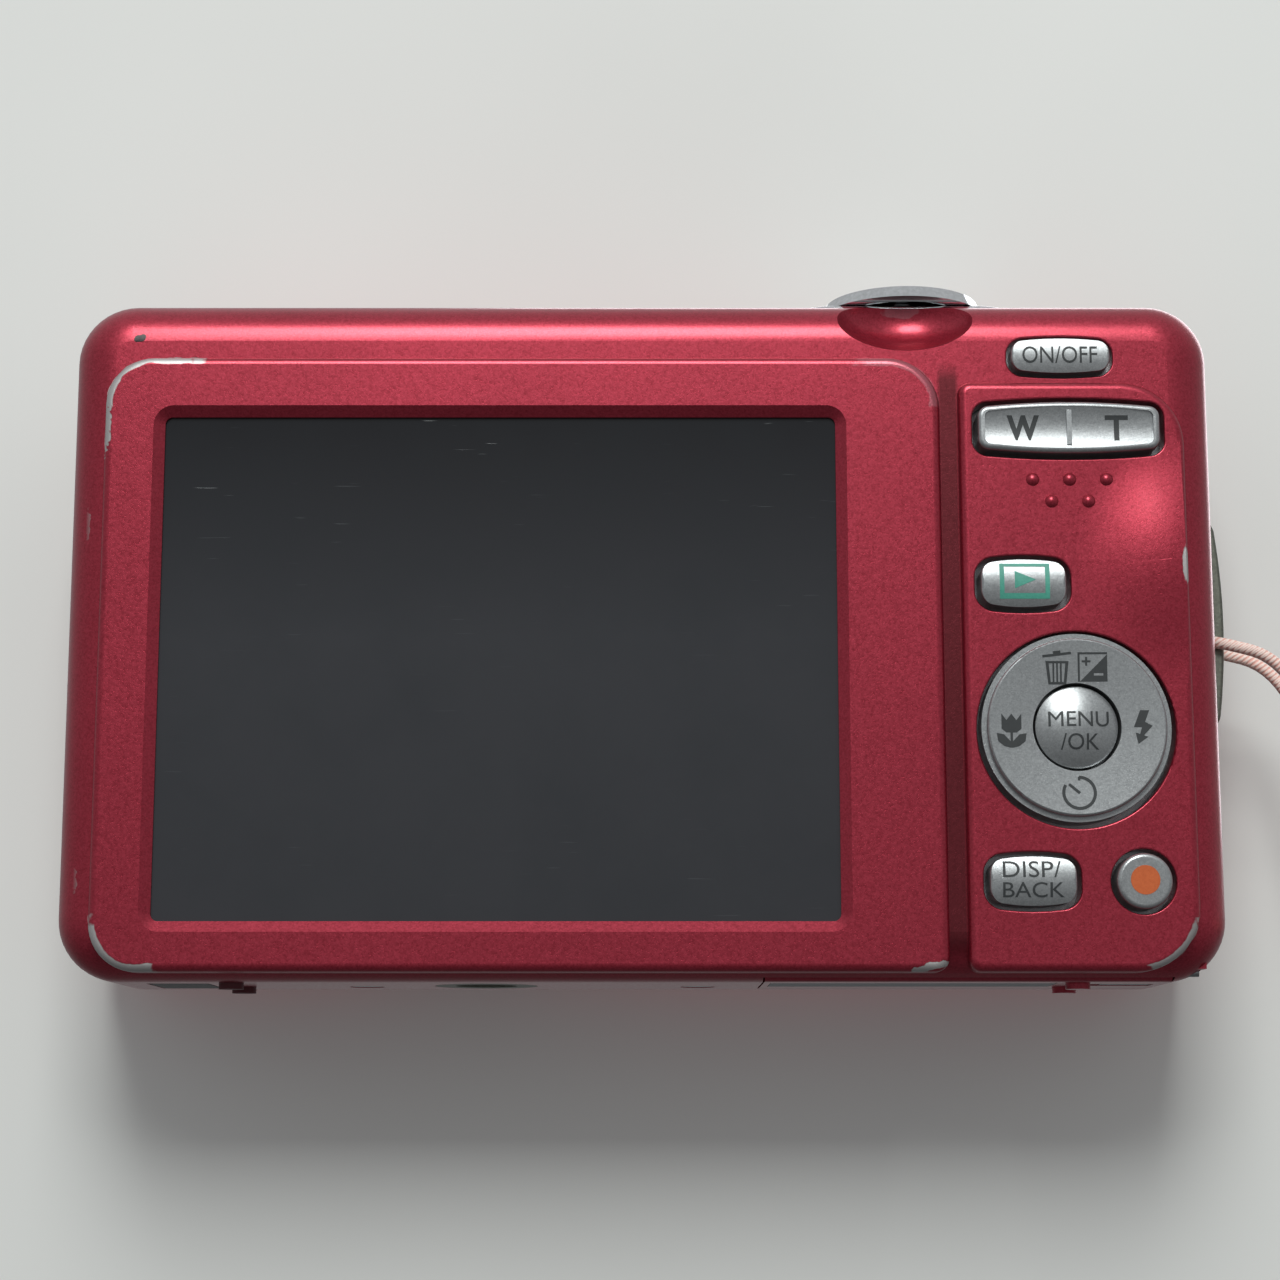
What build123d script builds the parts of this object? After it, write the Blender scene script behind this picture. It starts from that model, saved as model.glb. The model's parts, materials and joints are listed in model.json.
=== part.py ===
from build123d import *
from math import atan2, cos, degrees, radians, sin, sqrt, tan
import os

# Compact digital camera, millimetres. +Z is up, the lens looks along -Y, the screen looks along +Y.
# The strap end and the keys are on the -X side.

# ---------------------------------------------------------------- overall sizes
body_width = 94.0
body_height = 56.1
body_depth = 20.0
wall = 1.3
corner_radius = 5.0
rear_roll = 3.8
front_roll = 2.6
plateau_rise = 1.0
foot_height = 0.5
key_proud = 0.6
lens_ring_proud = 3.2
lug_proud = 2.3
front_cover_depth = 4.1
mate_gap = 0.1
button_gap = 0.25
flange_gap = 0.1

# ---------------------------------------------------------------- planes shared by many pieces
total_depth = lens_ring_proud + body_depth + key_proud
rear_face_y = total_depth / 2 - key_proud
front_face_y = rear_face_y - body_depth
base_y = rear_face_y - plateau_rise
inner_rear_y = base_y - wall
inner_front_y = front_face_y + wall
seam_y = front_face_y + front_cover_depth
body_cx = lug_proud / 2
body_left = body_cx - body_width / 2
body_right = body_cx + body_width / 2
body_bottom = foot_height
body_top = body_bottom + body_height
body_cz = (body_bottom + body_top) / 2
inner_left = body_left + wall
inner_right = body_right - wall
inner_bottom = body_bottom + wall
inner_top = body_top - wall

# ---------------------------------------------------------------- rear face layout
panel_left = body_left + 2.75
panel_width = 18.4
panel_bottom = body_bottom + 0.6
panel_top = body_top - 7.5
panel_corner = 5.2
panel_inner_corner = 1.0
groove_width = 1.5
deck_left = panel_left + panel_width + groove_width
deck_right = body_right - 3.15
deck_bottom = panel_bottom
deck_top = body_top - 5.4
deck_corner = 3.9
deck_inner_corner = 4.3
deck_low_corner = 1.2
edge_soften = 0.65

screen_width = 54.75
screen_height = 41.1
screen_bevel = 0.9
screen_cx = deck_right - 4.9 - screen_width / 2
screen_cz = deck_bottom + 4.0 + screen_height / 2
window_lip = 1.4
window_thick = 0.9
window_front_y = rear_face_y - 0.85

key_x = panel_left + panel_width / 2 + 0.3
power_x = key_x + 0.4
power_z = body_top - 5.2
power_w = 8.1
power_h = 2.9
power_bow = 0.3
power_corner = 1.05
rocker_z = body_top - 11.5
rocker_w = 14.8
rocker_h = 4.3
rocker_bow = 0.42
rocker_corner = 0.9
rocker_dish = 0.3
dot_top_z = rocker_z - 4.25
dot_low_z = dot_top_z - 1.81
dot_pitch = 3.0
dot_radius = 0.65
playback_x = key_x + 4.0
playback_z = body_bottom + 31.7
selector_z = body_bottom + 20.0
selector_radius = 7.2
selector_skirt = 7.6
selector_dish = 0.3
selector_hole_radius = 7.97
ok_radius = 3.3
ok_bore_radius = 3.55
back_x = key_x + 3.8
low_key_z = body_bottom + 7.7
pill_w = 6.9
pill_h = 3.9
pill_bow = 0.4
pill_corner = 1.2
hole_margin = 0.85
power_margin = 0.6
hole_edge = 0.14
record_x = key_x - 5.0
record_radius = 2.22
thumb_x = panel_left + 1.6
thumb_z = body_bottom + 33.6
thumb_reach = 7.5
thumb_rise = 0.75
thumb_stretch = 1.35

button_travel = 0.45
ok_travel = 0.3
tilt_degrees = 1.5
rocker_degrees = 3.0
flange_thick = 0.8
dome_thick = 0.4
key_board_thick = 0.6
flange_top_y = inner_rear_y - flange_gap
dome_top_y = flange_top_y - flange_thick - button_travel - 0.5
key_board_y = dome_top_y - dome_thick

# ---------------------------------------------------------------- shutter
shutter_x = key_x + 12.5
shutter_y = rear_face_y - 10.0
shutter_plate_w = 20.5
shutter_plate_d = 8.8
shutter_plate_t = 0.7
shutter_ring_radius = 6.95
shutter_ring_h = 1.0
shutter_cap_radius = 5.1
shutter_cap_top = body_top + 2.05
shutter_travel = 0.4
shutter_stem = 1.6

# ---------------------------------------------------------------- lens
lens_x = 14.0
lens_z = body_bottom + 26.0
housing_radius = 20.0
ring_radius = 22.4
bore_radius = 18.4
barrel_gap = 0.4
barrel_wall = 1.1
outer_radius = bore_radius - barrel_gap
middle_radius = outer_radius - barrel_wall - barrel_gap
inner_radius = middle_radius - barrel_wall - barrel_gap
lens_front_y = front_face_y - lens_ring_proud
barrel_front_y = lens_front_y + 0.3
housing_back_y = 3.3
aperture_radius = 5.2
blade_limit = inner_radius - barrel_wall - 0.35
blade_pivot = blade_limit - 1.5
blade_pivot_up = 0.7
blade_open_degrees = 29.0
blade_thick = 0.4
blade_pin_radius = 0.5

# ---------------------------------------------------------------- battery, card, door
battery_w = 31.7
battery_t = 5.8
battery_h = 40.0
battery_x = inner_left + 3.7 + battery_w / 2
battery_y = key_board_y - key_board_thick - 1.0 - battery_t / 2
battery_bottom = body_bottom + 3.1
box_wall = 0.6
box_bottom = battery_bottom - 0.1
door_w = battery_w + 0.9
door_front_y = seam_y + 0.7
door_t = 1.5
door_hinge_y = inner_rear_y - 1.9
door_barrel = door_t / 2
door_hinge_z = body_bottom + door_barrel
pin_radius = 0.35
pin_fit = 0.05
card_w = 24.0
card_t = 2.1
card_h = 32.0
card_x = battery_x - 1.0
card_y = battery_y - battery_t / 2 - 1.4 - card_t / 2
usb_x = body_right - 9.3
usb_door_w = 4.8
usb_door_t = 1.2
usb_hinge_y = door_hinge_y - 3.4
usb_front_y = seam_y + 0.8
tripod_x = lens_x
tripod_y = 0.1
tripod_radius = 2.55
tripod_outer = 4.2
tripod_h = 5.6

# ---------------------------------------------------------------- strap lug and strap
lug_y = -1.2
lug_width = 2.8
lug_z = body_bottom + 30.5
lug_span = 18.2
lug_bar = 1.25
lug_leg = 1.6
lug_pocket_depth = 0.95
thin_d = 1.0
thick_d = 2.2
strap_exit_z = lug_z - 1.4


# ---------------------------------------------------------------- small makers
def block(x0, x1, y0, y1, z0, z1):
    """Box between two corners."""
    return Pos((x0 + x1) / 2, (y0 + y1) / 2, (z0 + z1) / 2) * Box(x1 - x0, y1 - y0, z1 - z0)


def rod_x(x0, x1, y, z, radius):
    return Pos((x0 + x1) / 2, y, z) * Rot(0, 90, 0) * Cylinder(radius, x1 - x0)


def rod_y(x, z, radius, y0, y1):
    return Pos(x, (y0 + y1) / 2, z) * Rot(90, 0, 0) * Cylinder(radius, y1 - y0)


def rod_z(x, y, radius, z0, z1):
    return Pos(x, y, (z0 + z1) / 2) * Cylinder(radius, z1 - z0)


def plate_y(x, z, width, height, corner, y0, y1):
    """Rounded rectangle seen from the rear, from y0 to y1."""
    face = Plane.XZ * RectangleRounded(width, height, corner)
    return Pos(x, y1, z) * extrude(face, y1 - y0)


def plate_z(x, y, width, depth, corner, z0, z1):
    """Rounded rectangle seen from above, from z0 to z1."""
    return Pos(x, y, z0) * extrude(RectangleRounded(width, depth, corner), z1 - z0)


def plate_corners(x0, x1, z0, z1, low_left, low_right, top_right, top_left, y0, y1):
    """Rectangle seen from the rear with its own radius at each corner; left is the low X side."""
    rectangle = Rectangle(x1 - x0, z1 - z0)
    rounded = rectangle
    for sx, sz, radius in ((-1, -1, low_left), (1, -1, low_right), (1, 1, top_right), (-1, 1, top_left)):
        spot = Vector(sx * (x1 - x0) / 2, sz * (z1 - z0) / 2, 0)
        corner = rounded.vertices().sort_by_distance(spot)[0]
        rounded = fillet(corner, radius)
    return Pos((x0 + x1) / 2, y1, (z0 + z1) / 2) * extrude(Plane.XZ * rounded, y1 - y0)


def bowed(width, height, bow, corner):
    """Key outline whose long sides bulge by bow, with rounded corners."""
    half_w = width / 2
    side = height / 2 - bow
    upper = ThreePointArc((-half_w, side), (0, height / 2), (half_w, side))
    right = Line((half_w, side), (half_w, -side))
    lower = ThreePointArc((half_w, -side), (0, -height / 2), (-half_w, -side))
    left = Line((-half_w, -side), (-half_w, side))
    face = make_face([upper, right, lower, left])
    return fillet(face.vertices(), corner)


def bowed_y(x, z, width, height, bow, corner, y0, y1):
    """Bowed key outline from y0 to y1."""
    return Pos(x, y1, z) * extrude(Plane.XZ * bowed(width, height, bow, corner), y1 - y0)


def soften_rear(shape, radius):
    """Round the edges of the face that looks to the rear."""
    return fillet(shape.faces().sort_by(Axis.Y)[-1].edges(), radius)


def soften_front(shape, radius):
    return fillet(shape.faces().sort_by(Axis.Y)[0].edges(), radius)


def tube_y(x, z, outer, inner, y0, y1):
    return rod_y(x, z, outer, y0, y1) - rod_y(x, z, inner, y0 - 1, y1 + 1)


def save(shape, name):
    export_step(shape, "parts/" + name + ".step")


os.makedirs("parts", exist_ok=True)

# ---------------------------------------------------------------- rear cover
cover = plate_y(body_cx, body_cz, body_width, body_height, corner_radius, seam_y, base_y)
cover = soften_rear(cover, rear_roll)
cover_hull = cover
deck = plate_corners(
    deck_left,
    deck_right,
    deck_bottom,
    deck_top,
    deck_low_corner,
    deck_corner,
    deck_corner,
    deck_inner_corner,
    base_y - rear_roll,
    rear_face_y,
)
panel = plate_corners(
    panel_left,
    panel_left + panel_width,
    panel_bottom,
    panel_top,
    panel_corner,
    panel_inner_corner,
    panel_inner_corner,
    panel_corner,
    base_y - rear_roll,
    rear_face_y,
)
deck = soften_rear(deck, edge_soften)
panel = soften_rear(panel, edge_soften)
bell_profile = Spline(
    (0, thumb_rise),
    (thumb_reach * 0.5, thumb_rise * 0.5),
    (thumb_reach, 0),
    tangents=[(1, 0), (1, 0)],
)
bell_low = Line((thumb_reach, 0), (thumb_reach, -0.3))
bell_floor = Line((thumb_reach, -0.3), (0, -0.3))
bell_axis = Line((0, -0.3), (0, thumb_rise))
bell_face = make_face([bell_profile, bell_low, bell_floor, bell_axis])
bell = scale(revolve(bell_face, Axis.Y), (1, 1, thumb_stretch))
bump = Pos(thumb_x, rear_face_y, thumb_z) * bell
bump &= plate_corners(
    panel_left + edge_soften * 0.6,
    panel_left + panel_width - 1,
    panel_bottom + 1,
    panel_top - 1,
    4.0,
    1.0,
    1.0,
    4.0,
    rear_face_y - 0.35,
    rear_face_y + 2,
)
cover = cover + deck + panel
cavity = plate_y(
    body_cx,
    body_cz,
    body_width - 2 * wall,
    body_height - 2 * wall,
    corner_radius - wall,
    seam_y - 1,
    inner_rear_y,
)
cavity = soften_rear(cavity, rear_roll - wall)
scoop_x = shutter_x + 0.5
scoop_half_w = 6.2
scoop_half_h = 3.6
scoop_half_d = 5.2
scoop_centre_z = body_top - 1.2
scoop_centre_y = base_y + 1.5
scoop_pad = block(
    scoop_x - 6.6,
    scoop_x + 6.6,
    key_board_y + 0.35,
    base_y - 0.5,
    inner_top - 6.2,
    inner_top + 0.5,
)
scoop_pad += block(
    scoop_x - 4.7,
    scoop_x + 5.2,
    scoop_centre_y - scoop_half_d - 1.1,
    base_y - 0.5,
    inner_top - 5.0,
    inner_top + 0.5,
)
scoop_pad += block(
    scoop_x - 6.6,
    scoop_x + 6.6,
    scoop_centre_y - scoop_half_d - 1.2,
    base_y - 0.5,
    inner_top - 1.2,
    inner_top + 0.5,
)
pocket_floor_x = body_left + lug_pocket_depth
lug_pad = block(
    inner_left - 0.5,
    pocket_floor_x + wall + 0.35,
    seam_y,
    lug_y + lug_width / 2 + 3.2,
    lug_z - lug_span / 2 - 1,
    lug_z + lug_span / 2 + 1,
)
pin_out = 2.4
door_x0 = battery_x - door_w / 2
door_x1 = battery_x + door_w / 2
pin_pads = block(
    door_x0 - pin_out - 0.3,
    door_x1 + pin_out + 0.3,
    door_hinge_y - 0.9,
    door_hinge_y + 0.9,
    inner_bottom - 0.3,
    inner_bottom + 0.9,
)
usb_x0 = usb_x - usb_door_w / 2
usb_x1 = usb_x + usb_door_w / 2
usb_pads = block(
    usb_x0 - 1.6,
    usb_x1 + 1.6,
    usb_hinge_y - 0.8,
    usb_hinge_y + 0.8,
    inner_bottom - 0.3,
    inner_bottom + 0.6,
)
cover = cover - cavity + (scoop_pad & cover_hull) + lug_pad + pin_pads + usb_pads
for column in (-1, 0, 1):
    cover += Pos(key_x + column * dot_pitch, rear_face_y + 0.3 - dot_radius, dot_top_z) * Sphere(dot_radius)
for column in (-0.5, 0.5):
    cover += Pos(key_x + column * dot_pitch, rear_face_y + 0.3 - dot_radius, dot_low_z) * Sphere(dot_radius)
cover += bump

# screen opening with its bevel, and the pocket that holds the window from inside
cut_depth = rear_face_y + 1
opening = plate_y(screen_cx, screen_cz, screen_width, screen_height, 0.6, window_front_y - 2, cut_depth)
bevel_face = Plane.XZ * RectangleRounded(screen_width, screen_height, 0.6)
bevel_width = screen_width + 2 * screen_bevel
bevel_height = screen_height + 2 * screen_bevel
bevel_wide = Plane.XZ * RectangleRounded(bevel_width, bevel_height, 1.7)
bevel_face = Pos(screen_cx, window_front_y + 0.25, screen_cz) * bevel_face
bevel_wide = Pos(screen_cx, rear_face_y + 0.02, screen_cz) * bevel_wide
bevel = loft([bevel_face, bevel_wide])
pocket = plate_y(
    screen_cx,
    screen_cz,
    screen_width + 2 * window_lip + 2 * mate_gap,
    screen_height + 2 * window_lip + 2 * mate_gap,
    1.2,
    inner_rear_y - 1,
    window_front_y,
)
cover = cover - opening - bevel - pocket

# bowl below the shutter, under the lip of the top wall, running down to the groove between the plateaus
scoop = scale(Sphere(1), (scoop_half_w, scoop_half_d, scoop_half_h))
cover -= Pos(scoop_x, scoop_centre_y, scoop_centre_z) * scoop

# holes for the keys
through = (inner_rear_y - 6, cut_depth)
long_keys = [
    (power_x, power_z, power_w, power_h, power_bow, power_corner),
    (key_x, rocker_z, rocker_w, rocker_h, rocker_bow, rocker_corner),
    (playback_x, playback_z, pill_w, pill_h, pill_bow, pill_corner),
    (back_x, low_key_z, pill_w, pill_h, pill_bow, pill_corner),
]
keyholes = rod_y(key_x, selector_z - 0.15, selector_hole_radius, *through)
keyholes += rod_y(record_x, low_key_z, record_radius + 0.38, *through)
for x, z, width, height, bow, corner in long_keys:
    margin = power_margin if z == power_z else hole_margin
    hole_w = width + margin
    hole_h = height + margin
    keyholes += bowed_y(x, z, hole_w, hole_h, bow, corner + margin / 2, *through)
behind_wall = block(body_left - 1, body_right + 1, inner_rear_y - 0.01, cut_depth, body_bottom, body_top)
cover -= keyholes & behind_wall


def rim(shape, x, z, half_w, half_h, y):
    """Edges of a key hole at the outer surface."""
    return shape.edges().filter_by(
        lambda e: abs(e.center().Y - y) < 0.01
        and abs(e.center().X - x) < half_w
        and abs(e.center().Z - z) < half_h
    )


hole_rims = rim(cover, power_x, power_z, power_w / 2 + 0.7, power_h / 2 + 0.7, base_y)
for x, z, width, height, bow, corner in long_keys[1:]:
    hole_rims += rim(cover, x, z, width / 2 + 0.7, height / 2 + 0.7, rear_face_y)
hole_rims += rim(cover, key_x, selector_z, 8.2, 8.2, rear_face_y)
hole_rims += rim(cover, record_x, low_key_z, record_radius + 0.6, record_radius + 0.6, rear_face_y)
cover = fillet(hole_rims, hole_edge)

# openings in the top, bottom and side walls
cover -= rod_z(shutter_x, shutter_y, shutter_stem + button_gap, inner_top - 1, body_top + 1)
door_end_gap = 0.15
door_cut = block(
    door_x0 - door_end_gap,
    door_x1 + door_end_gap,
    door_front_y - 0.12,
    door_hinge_y + door_barrel + 0.15,
    body_bottom - 1,
    inner_bottom + 1.5,
)
door_pin_hole = rod_x(door_x0 - pin_out, door_x1 + pin_out, door_hinge_y, door_hinge_z, pin_radius + pin_fit)
usb_barrel = usb_door_t / 2
usb_hinge_z = body_bottom + usb_barrel
usb_pin_radius = 0.3
usb_cut = block(
    usb_x0 - 0.15,
    usb_x1 + 0.15,
    usb_front_y - 0.12,
    usb_hinge_y + usb_barrel + 0.15,
    body_bottom - 1,
    inner_bottom + 1.5,
)
usb_pin_hole = rod_x(usb_x0 - 1.2, usb_x1 + 1.2, usb_hinge_y, usb_hinge_z, usb_pin_radius + pin_fit)
cover = cover - door_cut - door_pin_hole - usb_cut - usb_pin_hole
cover -= rod_z(tripod_x, tripod_y, tripod_outer + 0.05, body_bottom - 1, inner_bottom + 1)
lug_pocket = block(
    body_left - 1,
    pocket_floor_x,
    seam_y - 0.01,
    lug_y + lug_width / 2 + 1.9,
    lug_z - lug_span / 2 + lug_leg - 0.1,
    lug_z + lug_span / 2 - lug_leg + 0.1,
)
leg_slots = Part()
for side in (-1, 1):
    leg_z = lug_z + side * (lug_span / 2 - lug_leg / 2)
    leg_slots += block(
        body_left - 1,
        inner_left + 3,
        lug_y - lug_width / 2 - mate_gap,
        lug_y + lug_width / 2 + mate_gap,
        leg_z - lug_leg / 2 - mate_gap,
        leg_z + lug_leg / 2 + mate_gap,
    )
cover = cover - lug_pocket - leg_slots

# four case screws: two in the bottom wall, one in each side wall
screw_y = (seam_y + 3.1) * 1.0
head_radius = 1.4
head_sink = 0.75
shank_radius = 0.7
shank_len = 3.8
bottom_screw_xs = (lens_x - 17.5, lens_x + 10.0)
left_screw_z = body_top - 6.6
right_screw_z = body_top - 12.6
screws = Part()
screw_holes = Part()
for x in bottom_screw_xs:
    screws += rod_z(x, screw_y, head_radius, body_bottom + 0.05, body_bottom + head_sink)
    screws += rod_z(x, screw_y, shank_radius, body_bottom + head_sink, body_bottom + shank_len)
    screw_holes += rod_z(x, screw_y, head_radius + 0.05, body_bottom - 1, body_bottom + head_sink)
    screw_holes += rod_z(x, screw_y, shank_radius + 0.05, body_bottom - 1, body_bottom + shank_len + 0.3)
for wall_x, inward, z in ((body_left, 1, left_screw_z), (body_right, -1, right_screw_z)):
    head = (wall_x + inward * 0.05, wall_x + inward * head_sink)
    shank = (wall_x + inward * head_sink, wall_x + inward * shank_len)
    screws += rod_x(min(head), max(head), screw_y, z, head_radius)
    screws += rod_x(min(shank), max(shank), screw_y, z, shank_radius)
    out = wall_x - inward * 1.0
    screw_holes += rod_x(min(out, head[1]), max(out, head[1]), screw_y, z, head_radius + 0.05)
    deep = wall_x + inward * (shank_len + 0.3)
    screw_holes += rod_x(min(out, deep), max(out, deep), screw_y, z, shank_radius + 0.05)
cover -= screw_holes
save(cover, "rear_cover")
save(screws, "cover_screws")

# ---------------------------------------------------------------- front cover
front = plate_y(body_cx, body_cz, body_width, body_height, corner_radius, front_face_y, seam_y)
front = soften_front(front, front_roll)
front_cavity = plate_y(
    body_cx,
    body_cz,
    body_width - 2 * wall,
    body_height - 2 * wall,
    corner_radius - wall,
    inner_front_y,
    seam_y + 1,
)
front_cavity = soften_front(front_cavity, front_roll - wall)
front -= front_cavity
tab = 2.4
tab_half = 2.5
tab_root = inner_front_y + 1.4
tab_end = screw_y + 2.0
for x in bottom_screw_xs:
    low = inner_bottom + 0.05
    tab_low = inner_bottom - 0.3
    front += block(x - tab_half, x + tab_half, inner_front_y - 0.3, seam_y - 0.2, tab_low, low + tab)
    front += block(x - tab_half, x + tab_half, tab_root, tab_end, low, low + tab)
for wall_x, inward, z in ((inner_left, 1, left_screw_z), (inner_right, -1, right_screw_z)):
    face = wall_x + inward * 0.05
    tip = face + inward * tab
    back = wall_x - inward * 0.3
    side_x = (min(back, tip), max(back, tip))
    front += block(*side_x, inner_front_y - 0.3, seam_y - 0.2, z - tab_half, z + tab_half)
    front += block(min(face, tip), max(face, tip), tab_root, tab_end, z - tab_half, z + tab_half)
front -= screw_holes
front -= rod_y(lens_x, lens_z, bore_radius + 3.1, front_face_y - 1, seam_y)
flash_x = lens_x - 12.5
flash_z = body_top - 5.9
flash_w = 14.0
flash_h = 6.4
front -= plate_y(flash_x, flash_z, flash_w, flash_h, 1.2, front_face_y - 1, seam_y)
lamp_x = lens_x + 19.0
lamp_z = body_top - 5.6
lamp_radius = 2.2
front -= rod_y(lamp_x, lamp_z, lamp_radius, front_face_y - 1, seam_y)
speaker_x = body_right - 7.0
speaker_z = body_bottom + 32.5
speaker_radius = 3.8
for k in range(6):
    turn = radians(60 * k)
    front -= rod_y(speaker_x + 2.0 * cos(turn), speaker_z + 2.0 * sin(turn), 0.45, front_face_y - 1, seam_y)
front -= rod_y(speaker_x, speaker_z, 0.45, front_face_y - 1, seam_y)
save(front, "front_cover")

flash_window = plate_y(flash_x, flash_z, flash_w - 0.1, flash_h - 0.1, 1.15, front_face_y, inner_front_y)
save(soften_front(flash_window, 0.25), "flash_window")
lamp = rod_y(lamp_x, lamp_z, lamp_radius - 0.05, front_face_y, inner_front_y)
save(soften_front(lamp, 0.25), "af_lamp_window")
save(rod_y(speaker_x, speaker_z, speaker_radius, inner_front_y + 0.1, inner_front_y + 2.9), "speaker")
flash_unit = block(flash_x - 7.6, flash_x + 7.6, inner_front_y + 0.2, -1.0, flash_z - 3.5, flash_z + 3.5)
save(flash_unit, "flash_unit")
cap_radius = 3.9
cap_x0 = lens_x - 2.0
cap_y = inner_front_y + 0.6 + cap_radius
capacitor = rod_x(cap_x0, cap_x0 + 26, cap_y, inner_top - 0.5 - cap_radius, cap_radius)
save(capacitor, "flash_capacitor")

# ---------------------------------------------------------------- screen stack
window = plate_y(
    screen_cx,
    screen_cz,
    screen_width + 2 * window_lip,
    screen_height + 2 * window_lip,
    1.1,
    window_front_y - window_thick,
    window_front_y,
)
save(window, "lcd_window")
lcd_w = 60.0
lcd_h = 45.0
lcd_back_y = inner_rear_y - 3.0
save(
    plate_y(screen_cx, screen_cz, lcd_w, lcd_h, 0.8, lcd_back_y, inner_rear_y - 0.05),
    "lcd_module",
)
chassis_x0 = battery_x + battery_w / 2 + 2.6
chassis_x1 = inner_right - 1.0
chassis_y = lcd_back_y - 1.0
chassis_z0 = inner_bottom + 1.6
chassis_z1 = inner_top - 1.6
chassis = block(chassis_x0, chassis_x1, chassis_y, chassis_y + 0.6, chassis_z0, chassis_z1)
save(chassis, "chassis_plate")
board_y = chassis_y - 1.4
board = block(chassis_x0, chassis_x1 - 0.5, board_y, board_y + 1.0, inner_bottom + 4.6, inner_top - 2.5)
save(board, "main_board")

# ---------------------------------------------------------------- keys
def key_plate(x, z, outline, flange_w, flange_h, top_y, soft, crown, low, thick):
    """Key cap with a crowned top, and the retaining flange behind the wall."""
    width, height, bow, corner = outline
    cap = bowed_y(x, z, width, height, bow, corner, low, top_y)
    cap = soften_rear(cap, soft)
    if crown:
        cap &= rod_x(x - width, x + width, top_y - crown, z, crown)
    flange = bowed_y(x, z, width + flange_w, height + flange_h, bow, corner, low, low + thick)
    return cap + flange


key_top = rear_face_y + key_proud
power_top = base_y + key_proud + 0.1
cap_low = flange_top_y - flange_thick
power_outline = (power_w, power_h, power_bow, power_corner)
pill_outline = (pill_w, pill_h, pill_bow, pill_corner)
rocker_outline = (rocker_w, rocker_h, rocker_bow, rocker_corner)
save(
    key_plate(power_x, power_z, power_outline, 1.7, 1.1, power_top, 0.25, 5.0, cap_low, flange_thick),
    "power_button",
)
save(
    key_plate(playback_x, playback_z, pill_outline, 1.7, 1.4, key_top, 0.3, 5.5, cap_low, flange_thick),
    "playback_button",
)
save(
    key_plate(back_x, low_key_z, pill_outline, 1.7, 1.5, key_top, 0.3, 5.5, cap_low, flange_thick),
    "back_button",
)
rocker_thick = 0.5
rocker_low = flange_top_y - 0.45 - rocker_thick
rocker = key_plate(key_x, rocker_z, rocker_outline, 1.9, 2.0, key_top, 0.35, 0, rocker_low, rocker_thick)
dish = rod_x(key_x - rocker_w, key_x + rocker_w, key_top - rocker_dish + 6.0, rocker_z, 6.0)
dish &= bowed_y(key_x, rocker_z, rocker_w - 1.1, rocker_h - 0.8, rocker_bow, 0.5, key_top - 1, key_top + 1)
dish -= block(key_x - 0.2, key_x + 0.2, key_top - 1, key_top + 1, rocker_z - 1.45, rocker_z + 1.45)
rocker -= dish
save(rocker, "zoom_rocker")
record = rod_y(record_x, low_key_z, record_radius, flange_top_y - flange_thick, key_top)
record = soften_rear(record, 0.35)
record += rod_y(record_x, low_key_z, record_radius + 0.85, flange_top_y - flange_thick, flange_top_y)
save(record, "record_button")

ring_low_y = flange_top_y - 0.3 - 0.5
ring = rod_y(key_x, selector_z, selector_radius, ring_low_y, key_top - 0.05)
ring = soften_rear(ring, 0.3)
dish_sphere = selector_radius**2 / (2 * selector_dish)
ring -= Pos(key_x, key_top - 0.05 - selector_dish + dish_sphere, selector_z) * Sphere(dish_sphere)
ring += rod_y(key_x, selector_z, selector_skirt, ring_low_y, rear_face_y - 0.05)
ring += rod_y(key_x, selector_z, selector_hole_radius + 0.8, ring_low_y, ring_low_y + 0.5)
ring -= rod_y(key_x, selector_z, ok_bore_radius, ring_low_y - 1, key_top + 1)
save(ring, "selector_ring")
gimbal_top = ring_low_y - 0.25
gimbal_low = gimbal_top - 0.3
ok_flange_radius = ok_radius + 0.45
save(tube_y(key_x, selector_z, 5.4, ok_flange_radius + 0.2, gimbal_low, gimbal_top), "selector_gimbal")
ok_top = key_top + 0.15
ok_dome = 7.5
ok = rod_y(key_x, selector_z, ok_radius, gimbal_low, ok_top)
ok &= Pos(key_x, ok_top - ok_dome, selector_z) * Sphere(ok_dome)
ok = ok & block(key_x - 5, key_x + 5, gimbal_low, ok_top + 1, selector_z - 5, selector_z + 5)
ok += rod_y(key_x, selector_z, ok_flange_radius, gimbal_low, gimbal_top)
save(ok, "ok_button")

board_x0 = inner_left + 0.9
board_x1 = deck_left - 2.2
board_back_y = key_board_y - key_board_thick
key_board = block(board_x0, board_x1, board_back_y, key_board_y, inner_bottom + 1.7, inner_top - 1.3)
save(key_board, "key_board")
domes = Part()
dome_spots = [(power_x, power_z), (playback_x, playback_z), (back_x, low_key_z), (record_x, low_key_z)]
dome_spots += [(key_x, selector_z), (key_x - 4.6, rocker_z), (key_x + 4.6, rocker_z)]
dome_radius = 1.5
for k in range(4):
    turn = radians(90 * k)
    dome_spots.append((key_x + 5.0 * cos(turn), selector_z + 5.0 * sin(turn)))
for x, z in dome_spots:
    domes += rod_y(x, z, dome_radius, key_board_y, dome_top_y)
save(domes, "key_domes")

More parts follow.
